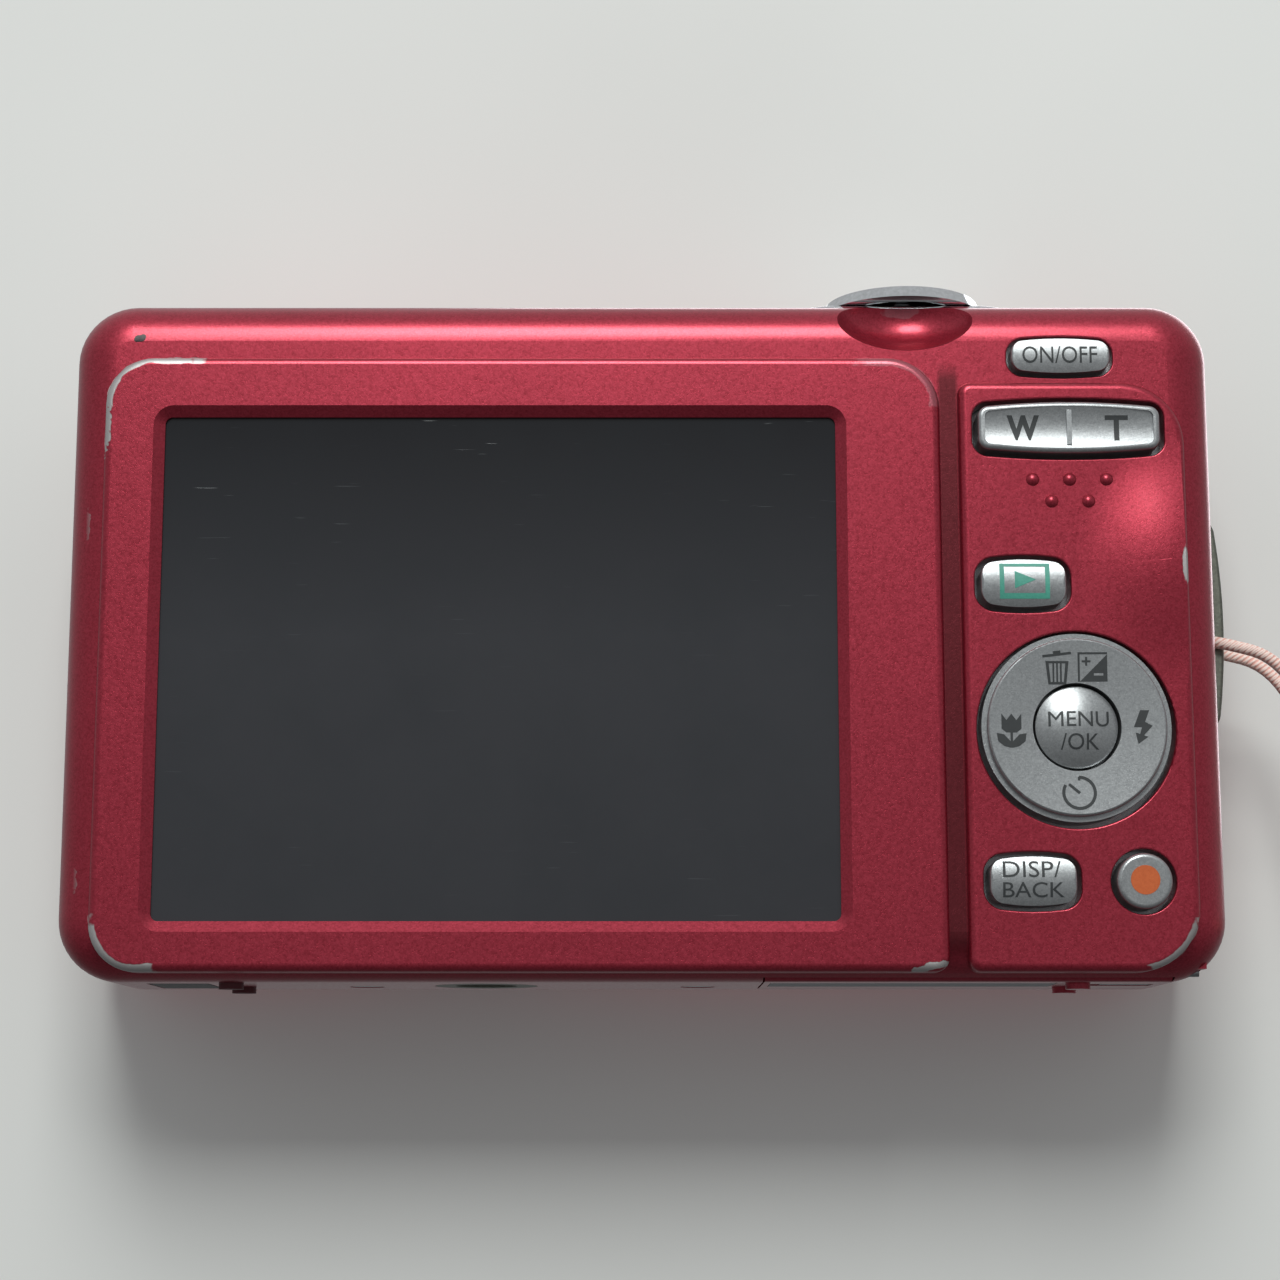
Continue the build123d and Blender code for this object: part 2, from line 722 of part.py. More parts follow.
# ---------------------------------------------------------------- shutter release
plate_corner = shutter_plate_d / 2 - 0.01
plate = plate_z(shutter_x, shutter_y, shutter_plate_w, shutter_plate_d, plate_corner, 0, shutter_plate_t)
plate = Pos(0, 0, body_top) * fillet(plate.faces().sort_by(Axis.Z)[-1].edges(), 0.4)
plate -= rod_z(shutter_x, shutter_y, shutter_stem + button_gap, body_top - 1, body_top + 2)
save(plate, "shutter_base_plate")
ring_z = body_top + shutter_plate_t
shutter_ring = Pos(shutter_x, shutter_y, ring_z + shutter_ring_h / 2) * Cone(
    shutter_ring_radius, shutter_ring_radius - 0.5, shutter_ring_h
)
shutter_ring -= rod_z(shutter_x, shutter_y, shutter_cap_radius + 0.25, ring_z - 1, ring_z + 4)
save(shutter_ring, "shutter_ring")
cap_low = ring_z + shutter_travel + 0.1
cap = rod_z(shutter_x, shutter_y, shutter_cap_radius, cap_low, shutter_cap_top)
cap = fillet(cap.faces().sort_by(Axis.Z)[-1].edges(), 0.5)
stem_low = inner_top - 1.6
cap += rod_z(shutter_x, shutter_y, shutter_stem, stem_low, cap_low + 0.1)
save(cap, "shutter_cap")
switch_top = stem_low - shutter_travel - 0.1
switch = block(shutter_x - 3, shutter_x + 3, shutter_y - 2.5, shutter_y + 2.5, switch_top - 2.2, switch_top)
save(switch, "shutter_switch")

# ---------------------------------------------------------------- lens
ring_part = tube_y(lens_x, lens_z, ring_radius, bore_radius, lens_front_y, front_face_y)
ring_circles = ring_part.edges().filter_by(GeomType.CIRCLE)
ring_edges = ring_circles.filter_by(lambda e: abs(e.radius - ring_radius) < 0.01)
ring_part = fillet(ring_edges.sort_by(Axis.Y)[0], 1.2)
ring_part += tube_y(lens_x, lens_z, bore_radius + 2.8, bore_radius, front_face_y, inner_front_y)
save(ring_part, "lens_deco_ring")
housing_front_y = inner_front_y + 0.1
housing = tube_y(lens_x, lens_z, housing_radius, bore_radius, housing_front_y, housing_back_y)
housing += rod_y(lens_x, lens_z, housing_radius, housing_back_y - 0.8, housing_back_y)
save(housing, "lens_housing")
sensor_y = housing_back_y - 0.8
sensor = block(lens_x - 6.5, lens_x + 6.5, sensor_y - 1.2, sensor_y, lens_z - 5.5, lens_z + 5.5)
save(sensor, "image_sensor")

outer_barrel = tube_y(lens_x, lens_z, outer_radius, outer_radius - barrel_wall, barrel_front_y + 0.6, -1.0)
save(outer_barrel, "lens_barrel_outer")
web_y = -3.4
middle = tube_y(lens_x, lens_z, middle_radius, middle_radius - barrel_wall, barrel_front_y + 0.3, -1.4)
middle += tube_y(lens_x, lens_z, middle_radius, 6.1, web_y, web_y + 1.0)
save(middle, "lens_barrel_middle")
rear_group = rod_y(lens_x, lens_z, 6.05, web_y - 0.6, web_y + 1.6)
save(rear_group, "rear_lens_group")
inner_back_y = web_y - 1.2
front_plate = 0.8
inner = tube_y(lens_x, lens_z, inner_radius, inner_radius - barrel_wall, barrel_front_y, inner_back_y)
inner += tube_y(lens_x, lens_z, inner_radius, aperture_radius, barrel_front_y, barrel_front_y + front_plate)
blade_y = barrel_front_y + front_plate + 0.1
carrier_y = blade_y + blade_thick + 0.9
inner += tube_y(lens_x, lens_z, inner_radius, 7.1, carrier_y, carrier_y + 1.0)
inner_edge = inner.edges().filter_by(GeomType.CIRCLE).filter_by(lambda e: abs(e.radius - inner_radius) < 0.01)
inner = fillet(inner_edge.sort_by(Axis.Y)[0], 0.5)
save(inner, "lens_barrel_inner")
front_lens = rod_y(lens_x, lens_z, 7.05, blade_y + blade_thick + 0.2, carrier_y + 1.4)
save(front_lens, "front_lens")


def barrier_blade(turn):
    """One half of the lens barrier, turned about the lens axis."""
    swing = radians(blade_open_degrees)
    back_x = blade_pivot - blade_pivot * cos(swing) + blade_pivot_up * sin(swing)
    back_z = blade_pivot_up - blade_pivot * sin(swing) - blade_pivot_up * cos(swing)
    blade = rod_y(0, 0, blade_limit, blade_y, blade_y + blade_thick)
    blade &= rod_y(back_x, back_z, blade_limit, blade_y - 1, blade_y + 2)
    blade &= block(-aperture_radius - 0.7, blade_limit + 1, blade_y - 1, blade_y + 2, 0.06, blade_limit)
    blade -= rod_y(blade_pivot, blade_pivot_up, blade_pin_radius + 0.08, blade_y - 1, blade_y + 2)
    return Pos(lens_x, 0, lens_z) * Rot(0, turn, 0) * blade


save(barrier_blade(0), "barrier_blade_upper")
save(barrier_blade(180), "barrier_blade_lower")
pins = Part()
for side in (-1, 1):
    pins += rod_y(
        lens_x + side * blade_pivot,
        lens_z + side * blade_pivot_up,
        blade_pin_radius,
        barrel_front_y + front_plate,
        carrier_y,
    )
save(pins, "barrier_pins")
save(rod_y(usb_x - 0.5, body_bottom + 11.5, 3.3, inner_front_y + 0.6, housing_back_y - 0.5), "zoom_motor")

# ---------------------------------------------------------------- battery and card
bat = plate_z(battery_x, battery_y, battery_w, battery_t, 1.0, battery_bottom, battery_bottom + battery_h)
save(bat, "battery")
box_w = battery_w + 0.2
box_t = battery_t + 0.2
box_top = battery_bottom + battery_h + 1.0
box = block(
    battery_x - box_w / 2 - box_wall,
    battery_x + box_w / 2 + box_wall,
    battery_y - box_t / 2 - box_wall,
    battery_y + box_t / 2 + box_wall,
    box_bottom,
    box_top + 0.8,
)
box -= block(
    battery_x - box_w / 2,
    battery_x + box_w / 2,
    battery_y - box_t / 2,
    battery_y + box_t / 2,
    box_bottom - 1,
    box_top,
)
save(box, "battery_box")
contacts = Part()
for k in (-1, 0, 1):
    x = battery_x + 8 + 3 * k
    contacts += block(x - 0.6, x + 0.6, battery_y - 1.2, battery_y + 1.2, box_top - 0.9, box_top)
save(contacts, "battery_contacts")
card_bottom = body_bottom + 3.7
card = block(
    card_x - card_w / 2,
    card_x + card_w / 2,
    card_y - card_t / 2,
    card_y + card_t / 2,
    card_bottom,
    card_bottom + card_h,
)
save(card, "memory_card")
slot = block(
    card_x - card_w / 2 - 0.7,
    card_x + card_w / 2 + 0.7,
    card_y - card_t / 2 - 0.6,
    card_y + card_t / 2 + 0.6,
    card_bottom + 1.8,
    card_bottom + card_h + 1.5,
)
slot -= block(
    card_x - card_w / 2 - 0.1,
    card_x + card_w / 2 + 0.1,
    card_y - card_t / 2 - 0.1,
    card_y + card_t / 2 + 0.1,
    card_bottom,
    card_bottom + card_h + 0.2,
)
save(slot, "card_slot")

# battery door on its pin, the strip on its outer face, and the latch slider
door = block(door_x0, door_x1, door_front_y, door_hinge_y, body_bottom, body_bottom + door_t)
door += rod_x(door_x0, door_x1, door_hinge_y, door_hinge_z, door_barrel)
strip_depth = 0.3
strip_x0 = door_x1 - 23.8
strip_x1 = door_x1 - 0.6
strip_y1 = door_hinge_y - 2.2
strip_y0 = door_front_y + 3.2
door -= block(
    strip_x0 - 0.05,
    strip_x1 + 0.05,
    strip_y0 - 0.05,
    strip_y1 + 0.05,
    body_bottom - 1,
    body_bottom + strip_depth,
)
latch_x0 = door_x0 + 0.8
latch_x1 = latch_x0 + 4.0
latch_travel = 1.5
latch_y = (strip_y0 + strip_y1) / 2
door -= block(
    latch_x0 - 0.1,
    latch_x1 + latch_travel + 0.1,
    latch_y - 1.35,
    latch_y + 1.35,
    body_bottom - 1,
    body_bottom + 0.9,
)
door -= rod_x(door_x0 - 1, door_x1 + 1, door_hinge_y, door_hinge_z, pin_radius + pin_fit)
foot_radius = 1.0
foot_x = strip_x0 - 1.6
for y in (strip_y0 - 1.4, door_hinge_y - 1.9):
    door += rod_z(foot_x, y, foot_radius, 0, body_bottom + 0.2)
save(door, "battery_door")
strip_top = body_bottom + strip_depth
save(block(strip_x0, strip_x1, strip_y0, strip_y1, body_bottom, strip_top), "battery_door_strip")
latch_low = body_bottom + 0.05
latch_high = body_bottom + 0.8
save(block(latch_x0, latch_x1, latch_y - 1.25, latch_y + 1.25, latch_low, latch_high), "door_latch")
save(rod_x(door_x0 - 2.2, door_x1 + 2.2, door_hinge_y, door_hinge_z, pin_radius), "door_pin")
hook_x1 = battery_x + battery_w / 2 - 0.5
hook_y1 = battery_y - battery_t / 2 + 0.8
hook_z = body_bottom + door_t + 0.35
save(block(hook_x1 - 2.4, hook_x1, hook_y1 - 2.0, hook_y1, hook_z, box_bottom - 0.1), "battery_latch")

# ---------------------------------------------------------------- terminal cover, port, tripod bush, feet
usb_door = block(usb_x0, usb_x1, usb_front_y, usb_hinge_y, body_bottom, body_bottom + usb_door_t)
usb_door += rod_x(usb_x0, usb_x1, usb_hinge_y, usb_hinge_z, usb_barrel)
usb_door -= rod_x(usb_x0 - 1, usb_x1 + 1, usb_hinge_y, usb_hinge_z, usb_pin_radius + pin_fit)
save(usb_door, "terminal_cover")
save(rod_x(usb_x0 - 1.1, usb_x1 + 1.1, usb_hinge_y, usb_hinge_z, usb_pin_radius), "terminal_pin")
port_y0 = usb_front_y + 0.3
port_y1 = board_y - 0.1
port = block(usb_x - 2.1, usb_x + 2.1, port_y0, port_y1, inner_bottom + 0.6, inner_bottom + 5.0)
port -= block(usb_x - 1.6, usb_x + 1.6, port_y0 + 0.5, port_y1 - 0.5, inner_bottom, inner_bottom + 4.2)
port += block(usb_x - 0.4, usb_x + 0.4, port_y0 + 1.6, port_y1 - 1.6, inner_bottom + 1.0, inner_bottom + 4.3)
save(port, "usb_port")
bush = rod_z(tripod_x, tripod_y, tripod_outer, body_bottom, body_bottom + tripod_h)
bush += rod_z(tripod_x, tripod_y, tripod_outer + 1.2, inner_bottom, inner_bottom + 1.1)
bush -= rod_z(tripod_x, tripod_y, tripod_radius, body_bottom - 1, body_bottom + tripod_h - 0.6)
save(bush, "tripod_bush")
feet = Part()
feet_x = body_right - 13.8
for y in (strip_y0 - 1.4, door_hinge_y - 1.9):
    feet += rod_z(feet_x, y, foot_radius, 0, body_bottom)
save(feet, "bottom_feet")

# ---------------------------------------------------------------- strap lug
root_x = body_left + 0.2
bow_x = body_left - lug_proud
half = lug_span / 2
shoulder = 0.7


def bow_face(depth_x, half_span, end_x, corner):
    """Flat bow outline: a slightly arched outer side with two rounded shoulders."""
    edge_x = depth_x + shoulder
    arch = ThreePointArc((edge_x, lug_z - half_span), (depth_x, lug_z), (edge_x, lug_z + half_span))
    upper = Line((edge_x, lug_z + half_span), (end_x, lug_z + half_span))
    back_line = Line((end_x, lug_z + half_span), (end_x, lug_z - half_span))
    lower = Line((end_x, lug_z - half_span), (edge_x, lug_z - half_span))
    face = make_face([arch, upper, back_line, lower])
    shoulders = face.vertices().filter_by(lambda v: abs(v.X - edge_x) < 0.01)
    return fillet(shoulders, corner)


bow_shape = bow_face(bow_x, half, root_x, 1.4) - bow_face(bow_x + lug_bar, half - lug_leg, root_x + 1, 0.5)
bow = Pos(0, lug_y + lug_width / 2, 0) * extrude(Plane.XZ * bow_shape, lug_width)
bow_edges = bow.edges().filter_by(GeomType.CIRCLE)
bow = fillet(bow_edges, 0.3)
for side in (-1, 1):
    leg_z = lug_z + side * (half - lug_leg / 2)
    bow += block(
        root_x - 0.1,
        inner_left + 0.9,
        lug_y - lug_width / 2,
        lug_y + lug_width / 2,
        leg_z - lug_leg / 2,
        leg_z + lug_leg / 2,
    )
save(bow, "strap_lug")


# ---------------------------------------------------------------- strap
def cord_radii(points):
    """Radius of the arc at each corner: 0.45 of the shorter run over the tangent of half the turn."""
    radii = []
    for a, b, c in zip(points, points[1:], points[2:]):
        before = Vector(*b) - Vector(*a)
        after = Vector(*c) - Vector(*b)
        turn = before.get_angle(after)
        run = min(before.length, after.length)
        radii.append(0.45 * run / tan(radians(turn / 2)))
    return radii


def cord(points, diameter, name):
    radii = cord_radii(points)
    print(name, "radii", [round(r, 2) for r in radii], "smallest over d", round(min(radii) / diameter, 2))
    path = FilletPolyline(*points, radius=radii)
    section = Plane(origin=path @ 0, z_dir=path % 0) * Circle(diameter / 2)
    tube = sweep(section, path=path)
    expected = 3.14159265 * diameter**2 / 4 * path.length
    print(name, "length", round(path.length, 1), "volume", round(tube.volume, 1), "of", round(expected, 1))
    save(tube, name)
    return path


ferrule_x = body_left - 20.2
ferrule_len = 7.0
ferrule_h = 3.3
ferrule_w = 6.0
strap_z = ferrule_h / 2 + 0.05
strap_inset = 1.5
loop_x = body_left - 0.05
rear_strand = lug_width / 2 + 1.0
front_strand = lug_width / 2 + 1.0
thin_pitch = 0.7
ferrule_x0 = ferrule_x - ferrule_len / 2
ferrule_x1 = ferrule_x + ferrule_len / 2
droop_x = body_left - 8.35
droop_z = strap_exit_z - 2.0
fall_x = body_left - 11.1
fall_z = 13.8
floor_x = body_left - 11.9
floor_z = 1.6
thin_points = []
for side, spread in ((1, rear_strand), (-1, front_strand)):
    strand = [
        (ferrule_x1 - strap_inset, lug_y + side * thin_pitch, strap_z),
        (floor_x, lug_y + side * (thin_pitch + 0.05), floor_z),
        (fall_x, lug_y + side * (thin_pitch + 0.25), fall_z),
        (droop_x, lug_y + side * (spread - 0.6), droop_z),
        (loop_x, lug_y + side * spread, strap_exit_z),
    ]
    thin_points += strand if side == 1 else strand[::-1]
cord(thin_points, thin_d, "strap_loop")

thick_pitch = 1.35
coil_hx = 13.0
coil_hy = 15.9
coil_cut = 7.0
entry_run = 9.45
exit_run = 7.3
coil_x = ferrule_x0 - 3.3 - coil_hx
floor_layer = thick_d / 2 + 0.05
cross_layer = strap_z + thick_d + 0.45
top_layer = floor_layer + thick_d + 0.35
inner_hy = coil_hy - thick_d - 1.1
near_x = coil_x + coil_hx
far_x = coil_x - coil_hx
first_turn = [
    (ferrule_x0 + strap_inset, thick_pitch, strap_z),
    (near_x - 3.4, thick_pitch, floor_layer + 0.1),
    (near_x - 3.4 - entry_run, coil_hy, floor_layer),
    (far_x + coil_cut - 1.8, coil_hy, floor_layer),
    (far_x, coil_hy - coil_cut, floor_layer),
    (far_x, -coil_hy + coil_cut, floor_layer),
    (far_x + coil_cut, -coil_hy, floor_layer),
    (near_x - coil_cut, -coil_hy, floor_layer + 1.6),
    (near_x, -coil_hy + coil_cut, cross_layer),
    (near_x, coil_hy - coil_cut, cross_layer),
]
second_turn = [
    (near_x - coil_cut, coil_hy, top_layer),
    (far_x + coil_cut, coil_hy, top_layer),
    (far_x, coil_hy - coil_cut, top_layer),
    (far_x, -inner_hy + coil_cut, top_layer),
    (far_x + coil_cut, -inner_hy, top_layer - 0.5),
    (near_x - 3.4 - exit_run, -inner_hy, floor_layer + 0.9),
    (near_x - 3.4, -thick_pitch, floor_layer + 0.1),
    (ferrule_x0 + strap_inset, -thick_pitch, strap_z),
]
thick_points = [(x, y + lug_y, z) for x, y, z in first_turn + second_turn]
cord(thick_points, thick_d, "strap_cord")

ferrule = Pos(ferrule_x, lug_y, strap_z) * Box(ferrule_len, ferrule_w, ferrule_h)
ferrule = fillet(ferrule.edges().filter_by(Axis.X), 1.3)
for side in (-1, 1):
    y = lug_y + side * thin_pitch
    ferrule -= rod_x(ferrule_x1 - strap_inset - 0.02, ferrule_x1 + 1, y, strap_z, thin_d / 2 + 0.1)
    y = lug_y + side * thick_pitch
    ferrule -= rod_x(ferrule_x0 - 1, ferrule_x0 + strap_inset + 0.02, y, strap_z, thick_d / 2 + 0.17)
save(ferrule, "strap_ferrule")
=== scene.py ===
import json
import math

import bmesh
import bpy
from mathutils import Matrix, Vector


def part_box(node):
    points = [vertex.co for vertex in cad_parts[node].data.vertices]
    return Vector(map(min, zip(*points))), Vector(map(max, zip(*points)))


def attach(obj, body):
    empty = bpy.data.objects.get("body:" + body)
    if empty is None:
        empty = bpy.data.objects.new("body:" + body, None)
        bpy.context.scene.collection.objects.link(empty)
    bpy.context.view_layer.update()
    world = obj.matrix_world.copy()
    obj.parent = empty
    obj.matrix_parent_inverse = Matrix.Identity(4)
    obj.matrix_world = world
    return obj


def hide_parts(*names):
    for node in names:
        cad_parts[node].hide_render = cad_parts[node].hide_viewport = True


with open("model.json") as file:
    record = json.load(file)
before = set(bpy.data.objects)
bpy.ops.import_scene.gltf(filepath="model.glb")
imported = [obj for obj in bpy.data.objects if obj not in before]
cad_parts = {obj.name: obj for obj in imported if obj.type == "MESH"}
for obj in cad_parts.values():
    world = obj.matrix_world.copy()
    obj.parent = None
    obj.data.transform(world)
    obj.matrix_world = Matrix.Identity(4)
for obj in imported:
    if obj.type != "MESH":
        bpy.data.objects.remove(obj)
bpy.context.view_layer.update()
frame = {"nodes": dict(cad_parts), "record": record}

# The camera stands upright: +Z up, the screen looks along +Y, the keys are on the -X side.
# Places below are millimetres in that frame, and mm turns them to metres.
mm = 0.001


def at(*place):
    return Vector(place) * mm


# ---------------------------------------------------------------- node helpers
def linear(hex_colour):
    """An sRGB hex colour as linear RGBA."""
    parts = [int(hex_colour[i:i + 2], 16) / 255 for i in (0, 2, 4)]
    return tuple((c / 12.92 if c <= 0.04045 else ((c + 0.055) / 1.055) ** 2.4 for c in parts)) + (1.0,)


def add(tree, kind, settings=None, **links):
    """One node with its settings; each link gives a socket, by name or as i0, i1, a value or an output."""
    made = tree.nodes.new("ShaderNode" + kind)
    for key, value in (settings or {}).items():
        setattr(made, key, value)
    for key, value in links.items():
        by_place = key[0] == "i" and key[1:].isdigit()
        socket = made.inputs[int(key[1:]) if by_place else key.replace("_", " ")]
        if isinstance(value, bpy.types.NodeSocket):
            tree.links.new(value, socket)
        else:
            socket.default_value = value
    return made


# Settings that many nodes share.
plus, minus, times, greater, positive = (
    {"operation": word} for word in ("ADD", "SUBTRACT", "MULTIPLY", "MAXIMUM", "ABSOLUTE")
)
tint = {"data_type": "RGBA"}


def material(name, **sockets):
    """A Principled surface of that name; sockets are set on the shader itself."""
    made = bpy.data.materials.new(name)
    made.use_nodes = True
    tree = made.node_tree
    shader = tree.nodes["Principled BSDF"]
    for key, value in sockets.items():
        shader.inputs[key.replace("_", " ")].default_value = value
    return made, tree, shader


def spot(tree, place, x, z, half_x, half_z, turn=0.0, ragged=0.35, ragged_mm=0.6):
    """1 inside an ellipse on the rear face with a ragged edge, 0 outside."""
    moved = add(tree, "Mapping", {"vector_type": "TEXTURE"}, Vector=place)
    moved.inputs["Location"].default_value = (x * mm, 0, z * mm)
    moved.inputs["Rotation"].default_value = (0, math.radians(turn), 0)
    moved.inputs["Scale"].default_value = (half_x * mm, 1000.0, half_z * mm)
    reach = add(tree, "VectorMath", {"operation": "LENGTH"}, i0=moved.outputs[0]).outputs["Value"]
    torn = add(
        tree, "Math", plus, i0=reach,
        i1=add(
            tree, "MapRange", None,
            i0=add(
                tree, "TexNoise", None, Vector=place, Scale=1.0 / (ragged_mm * mm), Detail=2.0,
                Roughness=0.5,
            ).outputs["Fac"],
            i1=0.3, i2=0.7, i3=-ragged, i4=ragged,
        ).outputs[0],
    ).outputs[0]
    return add(tree, "MapRange", None, i0=torn, i1=0.9, i2=1.05, i3=1.0, i4=0.0).outputs[0]


def most(tree, values):
    """The strongest of several masks."""
    whole = values[0]
    for value in values[1:]:
        whole = add(tree, "Math", greater, i0=whole, i1=value).outputs[0]
    return whole


# ---------------------------------------------------------------- camera
eye = bpy.data.cameras.new("view_camera")
eye.sensor_width = 36.0
eye.lens = 75.92
eye.clip_start = 0.005
camera = bpy.data.objects.new("view_camera", eye)
bpy.context.scene.collection.objects.link(camera)
camera.location = at(1.3, 225.0, -10.1)
aim = at(1.3, 11.3, 27.6) - camera.location
camera.rotation_euler = aim.to_track_quat("-Z", "Y").to_euler()
bpy.context.scene.camera = camera

# ---------------------------------------------------------------- finishes
paints = {}

# Candy red metallic paint: silver flake under a tinted coat, sprayed on an aluminium shell. It gives a deep
# red with a broad pink sheen on the rolled edges, a sandy sparkle, and grey-white metal where it has worn.
# The real flake is some 0.05 mm; it is drawn at 0.12 mm so that it shows.
paint, tree, shader = material(
    "candy_red_metallic_paint", Metallic=0.7, Coat_Weight=0.3, Coat_Roughness=0.2,
)
place = add(tree, "TexCoord").outputs["Object"]
flake = add(tree, "TexVoronoi", {"feature": "F1"}, Vector=place, Scale=1 / (0.12 * mm))
sparkle = add(tree, "SeparateColor", None, i0=flake.outputs["Color"]).outputs[0]
fine = add(
    tree, "TexNoise", None, Vector=place, Scale=1.0 / (0.3 * mm), Detail=3.0, Roughness=0.6,
).outputs["Fac"]
cloud = add(
    tree, "TexNoise", None, Vector=place, Scale=1.0 / (14.0 * mm), Detail=2.0, Roughness=0.5,
).outputs["Fac"]
red = add(tree, "Mix", tint, i0=sparkle, i6=linear("8E1D2F"), i7=linear("A82D40")).outputs[2]
red = add(
    tree, "Mix", tint,
    i0=add(tree, "MapRange", None, i0=fine, i1=0.35, i2=0.65, i3=0.0, i4=0.3).outputs[0], i6=red,
    i7=linear("B03A4D"),
).outputs[2]
red = add(
    tree, "Mix", tint,
    i0=add(tree, "MapRange", None, i0=cloud, i1=0.4, i2=0.7, i3=0.0, i4=0.12).outputs[0], i6=red,
    i7=linear("701222"),
).outputs[2]
axes = add(tree, "SeparateXYZ", None, i0=place)
rear_only = add(
    tree, "MapRange", None, i0=axes.outputs["Y"], i1=9.6 * mm, i2=10.2 * mm, i3=0.0, i4=1.0,
).outputs[0]


def edge_line(cx, cz, half_x, half_z, corner, offset, width):
    """1 on a thin line that follows a rounded rectangle on the rear face, broken up by grain."""
    beyond_x = add(
        tree, "Math", minus,
        i0=add(
            tree, "Math", positive,
            i0=add(tree, "Math", minus, i0=axes.outputs["X"], i1=cx * mm).outputs[0],
        ).outputs[0],
        i1=(half_x - corner) * mm,
    ).outputs[0]
    beyond_z = add(
        tree, "Math", minus,
        i0=add(
            tree, "Math", positive,
            i0=add(tree, "Math", minus, i0=axes.outputs["Z"], i1=cz * mm).outputs[0],
        ).outputs[0],
        i1=(half_z - corner) * mm,
    ).outputs[0]
    beyond_x = add(tree, "Math", greater, i0=beyond_x, i1=0.0).outputs[0]
    beyond_z = add(tree, "Math", greater, i0=beyond_z, i1=0.0).outputs[0]
    reach = add(tree, "CombineXYZ", None, X=beyond_x, Z=beyond_z).outputs[0]
    reach = add(tree, "VectorMath", {"operation": "LENGTH"}, i0=reach).outputs["Value"]
    off = add(
        tree, "Math", positive,
        i0=add(tree, "Math", minus, i0=reach, i1=(corner + offset) * mm).outputs[0],
    ).outputs[0]
    rag = add(
        tree, "MapRange", None,
        i0=add(
            tree, "TexNoise", None, Vector=place, Scale=1.0 / (1.4 * mm), Detail=2.0,
            Roughness=0.5,
        ).outputs["Fac"],
        i1=0.3, i2=0.7, i3=-0.25 * width * mm, i4=0.25 * width * mm,
    ).outputs[0]
    return add(
        tree, "MapRange", None, i0=add(tree, "Math", plus, i0=off, i1=rag).outputs[0],
        i1=0.8 * width * mm, i2=width * mm, i3=1.0, i4=0.0,
    ).outputs[0]


deck_line = edge_line(10.9, 26.15, 34.1, 25.05, 3.9, -0.25, 0.4)
panel_line = edge_line(-33.9, 25.1, 9.2, 24.0, 5.2, -0.2, 0.35)
body_line = edge_line(1.15, 28.55, 47.0, 28.05, 5.0, -0.9, 0.32)
deck_worn = most(tree, [
    spot(tree, place, 41.6, 50.2, 5.6, 2.6, 32, 0.25, 1.2),
    spot(tree, place, 43.2, 2.2, 4.4, 2.6, -35, 0.25, 1.2),
    spot(tree, place, 45.1, 45.4, 0.8, 2.4),
])
panel_worn = spot(tree, place, -41.8, 2.3, 3.2, 2.6, 40, 0.25, 1.0)
body_worn = most(tree, [
    spot(tree, place, 47.0, 13.5, 1.2, 3.0, 0, 0.5),
    spot(tree, place, 42.5, 54.6, 2.6, 1.4, 0, 0.5),
])
worn = most(
    tree,
    [
        add(tree, "Math", times, i0=deck_line, i1=deck_worn).outputs[0],
        add(tree, "Math", times, i0=panel_line, i1=panel_worn).outputs[0],
        add(tree, "Math", times, i0=body_line, i1=body_worn).outputs[0],
        spot(tree, place, -42.78, 33.83, 0.42, 1.5, 0, 0.15, 1.0),
        spot(tree, place, -21.6, 1.5, 1.6, 0.32, 12, 0.3),
        spot(tree, place, 46.3, 37.8, 0.25, 1.1, 0, 0.6),
        spot(tree, place, 46.6, 8.4, 0.3, 1.4, 0, 0.6),
    ],
)
worn = add(tree, "Math", times, i0=worn, i1=rear_only).outputs[0]
chip = add(
    tree, "Math", times, i0=spot(tree, place, 42.5, 53.0, 0.5, 0.28, 20, 0.4), i1=rear_only,
).outputs[0]
rubbed = add(
    tree, "Math", times,
    i0=most(
        tree,
        [
            add(
                tree, "Math", times, i0=edge_line(10.9, 26.15, 34.1, 25.05, 4.3, -0.35, 0.5),
                i1=spot(tree, place, -20.5, 49.6, 4.5, 2.4, -25, 0.2, 1.5),
            ).outputs[0],
            spot(tree, place, -20.6, 56.2, 1.5, 0.5, 0, 0.4, 1.5),
        ],
    ),
    i1=add(
        tree, "MapRange", None, i0=axes.outputs["Y"], i1=4.0 * mm, i2=6.0 * mm, i3=0.0, i4=1.0,
    ).outputs[0],
).outputs[0]
red = add(
    tree, "Mix", tint, i0=add(tree, "Math", times, i0=rubbed, i1=0.3).outputs[0], i6=red,
    i7=linear("B88A94"),
).outputs[2]
# Painted shade: the narrow groove between the two raised fields is painted a darker red, standing in for the
# shade that falls in it.
aside = add(
    tree, "Math", positive,
    i0=add(tree, "Math", plus, i0=axes.outputs["X"], i1=23.95 * mm).outputs[0],
).outputs[0]
painted_groove_shade = add(
    tree, "Math", times,
    i0=add(tree, "MapRange", None, i0=aside, i1=0.6 * mm, i2=0.95 * mm, i3=0.8, i4=0.0).outputs[0],
    i1=add(
        tree, "MapRange", None, i0=axes.outputs["Y"], i1=10.35 * mm, i2=10.95 * mm, i3=1.0,
        i4=0.0,
    ).outputs[0],
).outputs[0]
painted_groove_shade = add(tree, "Math", times, i0=painted_groove_shade, i1=rear_only).outputs[0]
painted_groove_shade = add(
    tree, "Math", times, i0=painted_groove_shade,
    i1=add(
        tree, "MapRange", None, i0=axes.outputs["Z"], i1=49.5 * mm, i2=51.0 * mm, i3=1.0, i4=0.0,
    ).outputs[0],
).outputs[0]
# The painted shade of the groove darkens the red here.
red = add(tree, "Mix", tint, i0=painted_groove_shade, i6=red, i7=linear("4A0710")).outputs[2]
red = add(tree, "Mix", tint, i0=worn, i6=red, i7=linear("B4B1B1")).outputs[2]
red = add(tree, "Mix", tint, i0=chip, i6=red, i7=linear("1C1416")).outputs[2]
tree.links.new(red, shader.inputs["Base Color"])
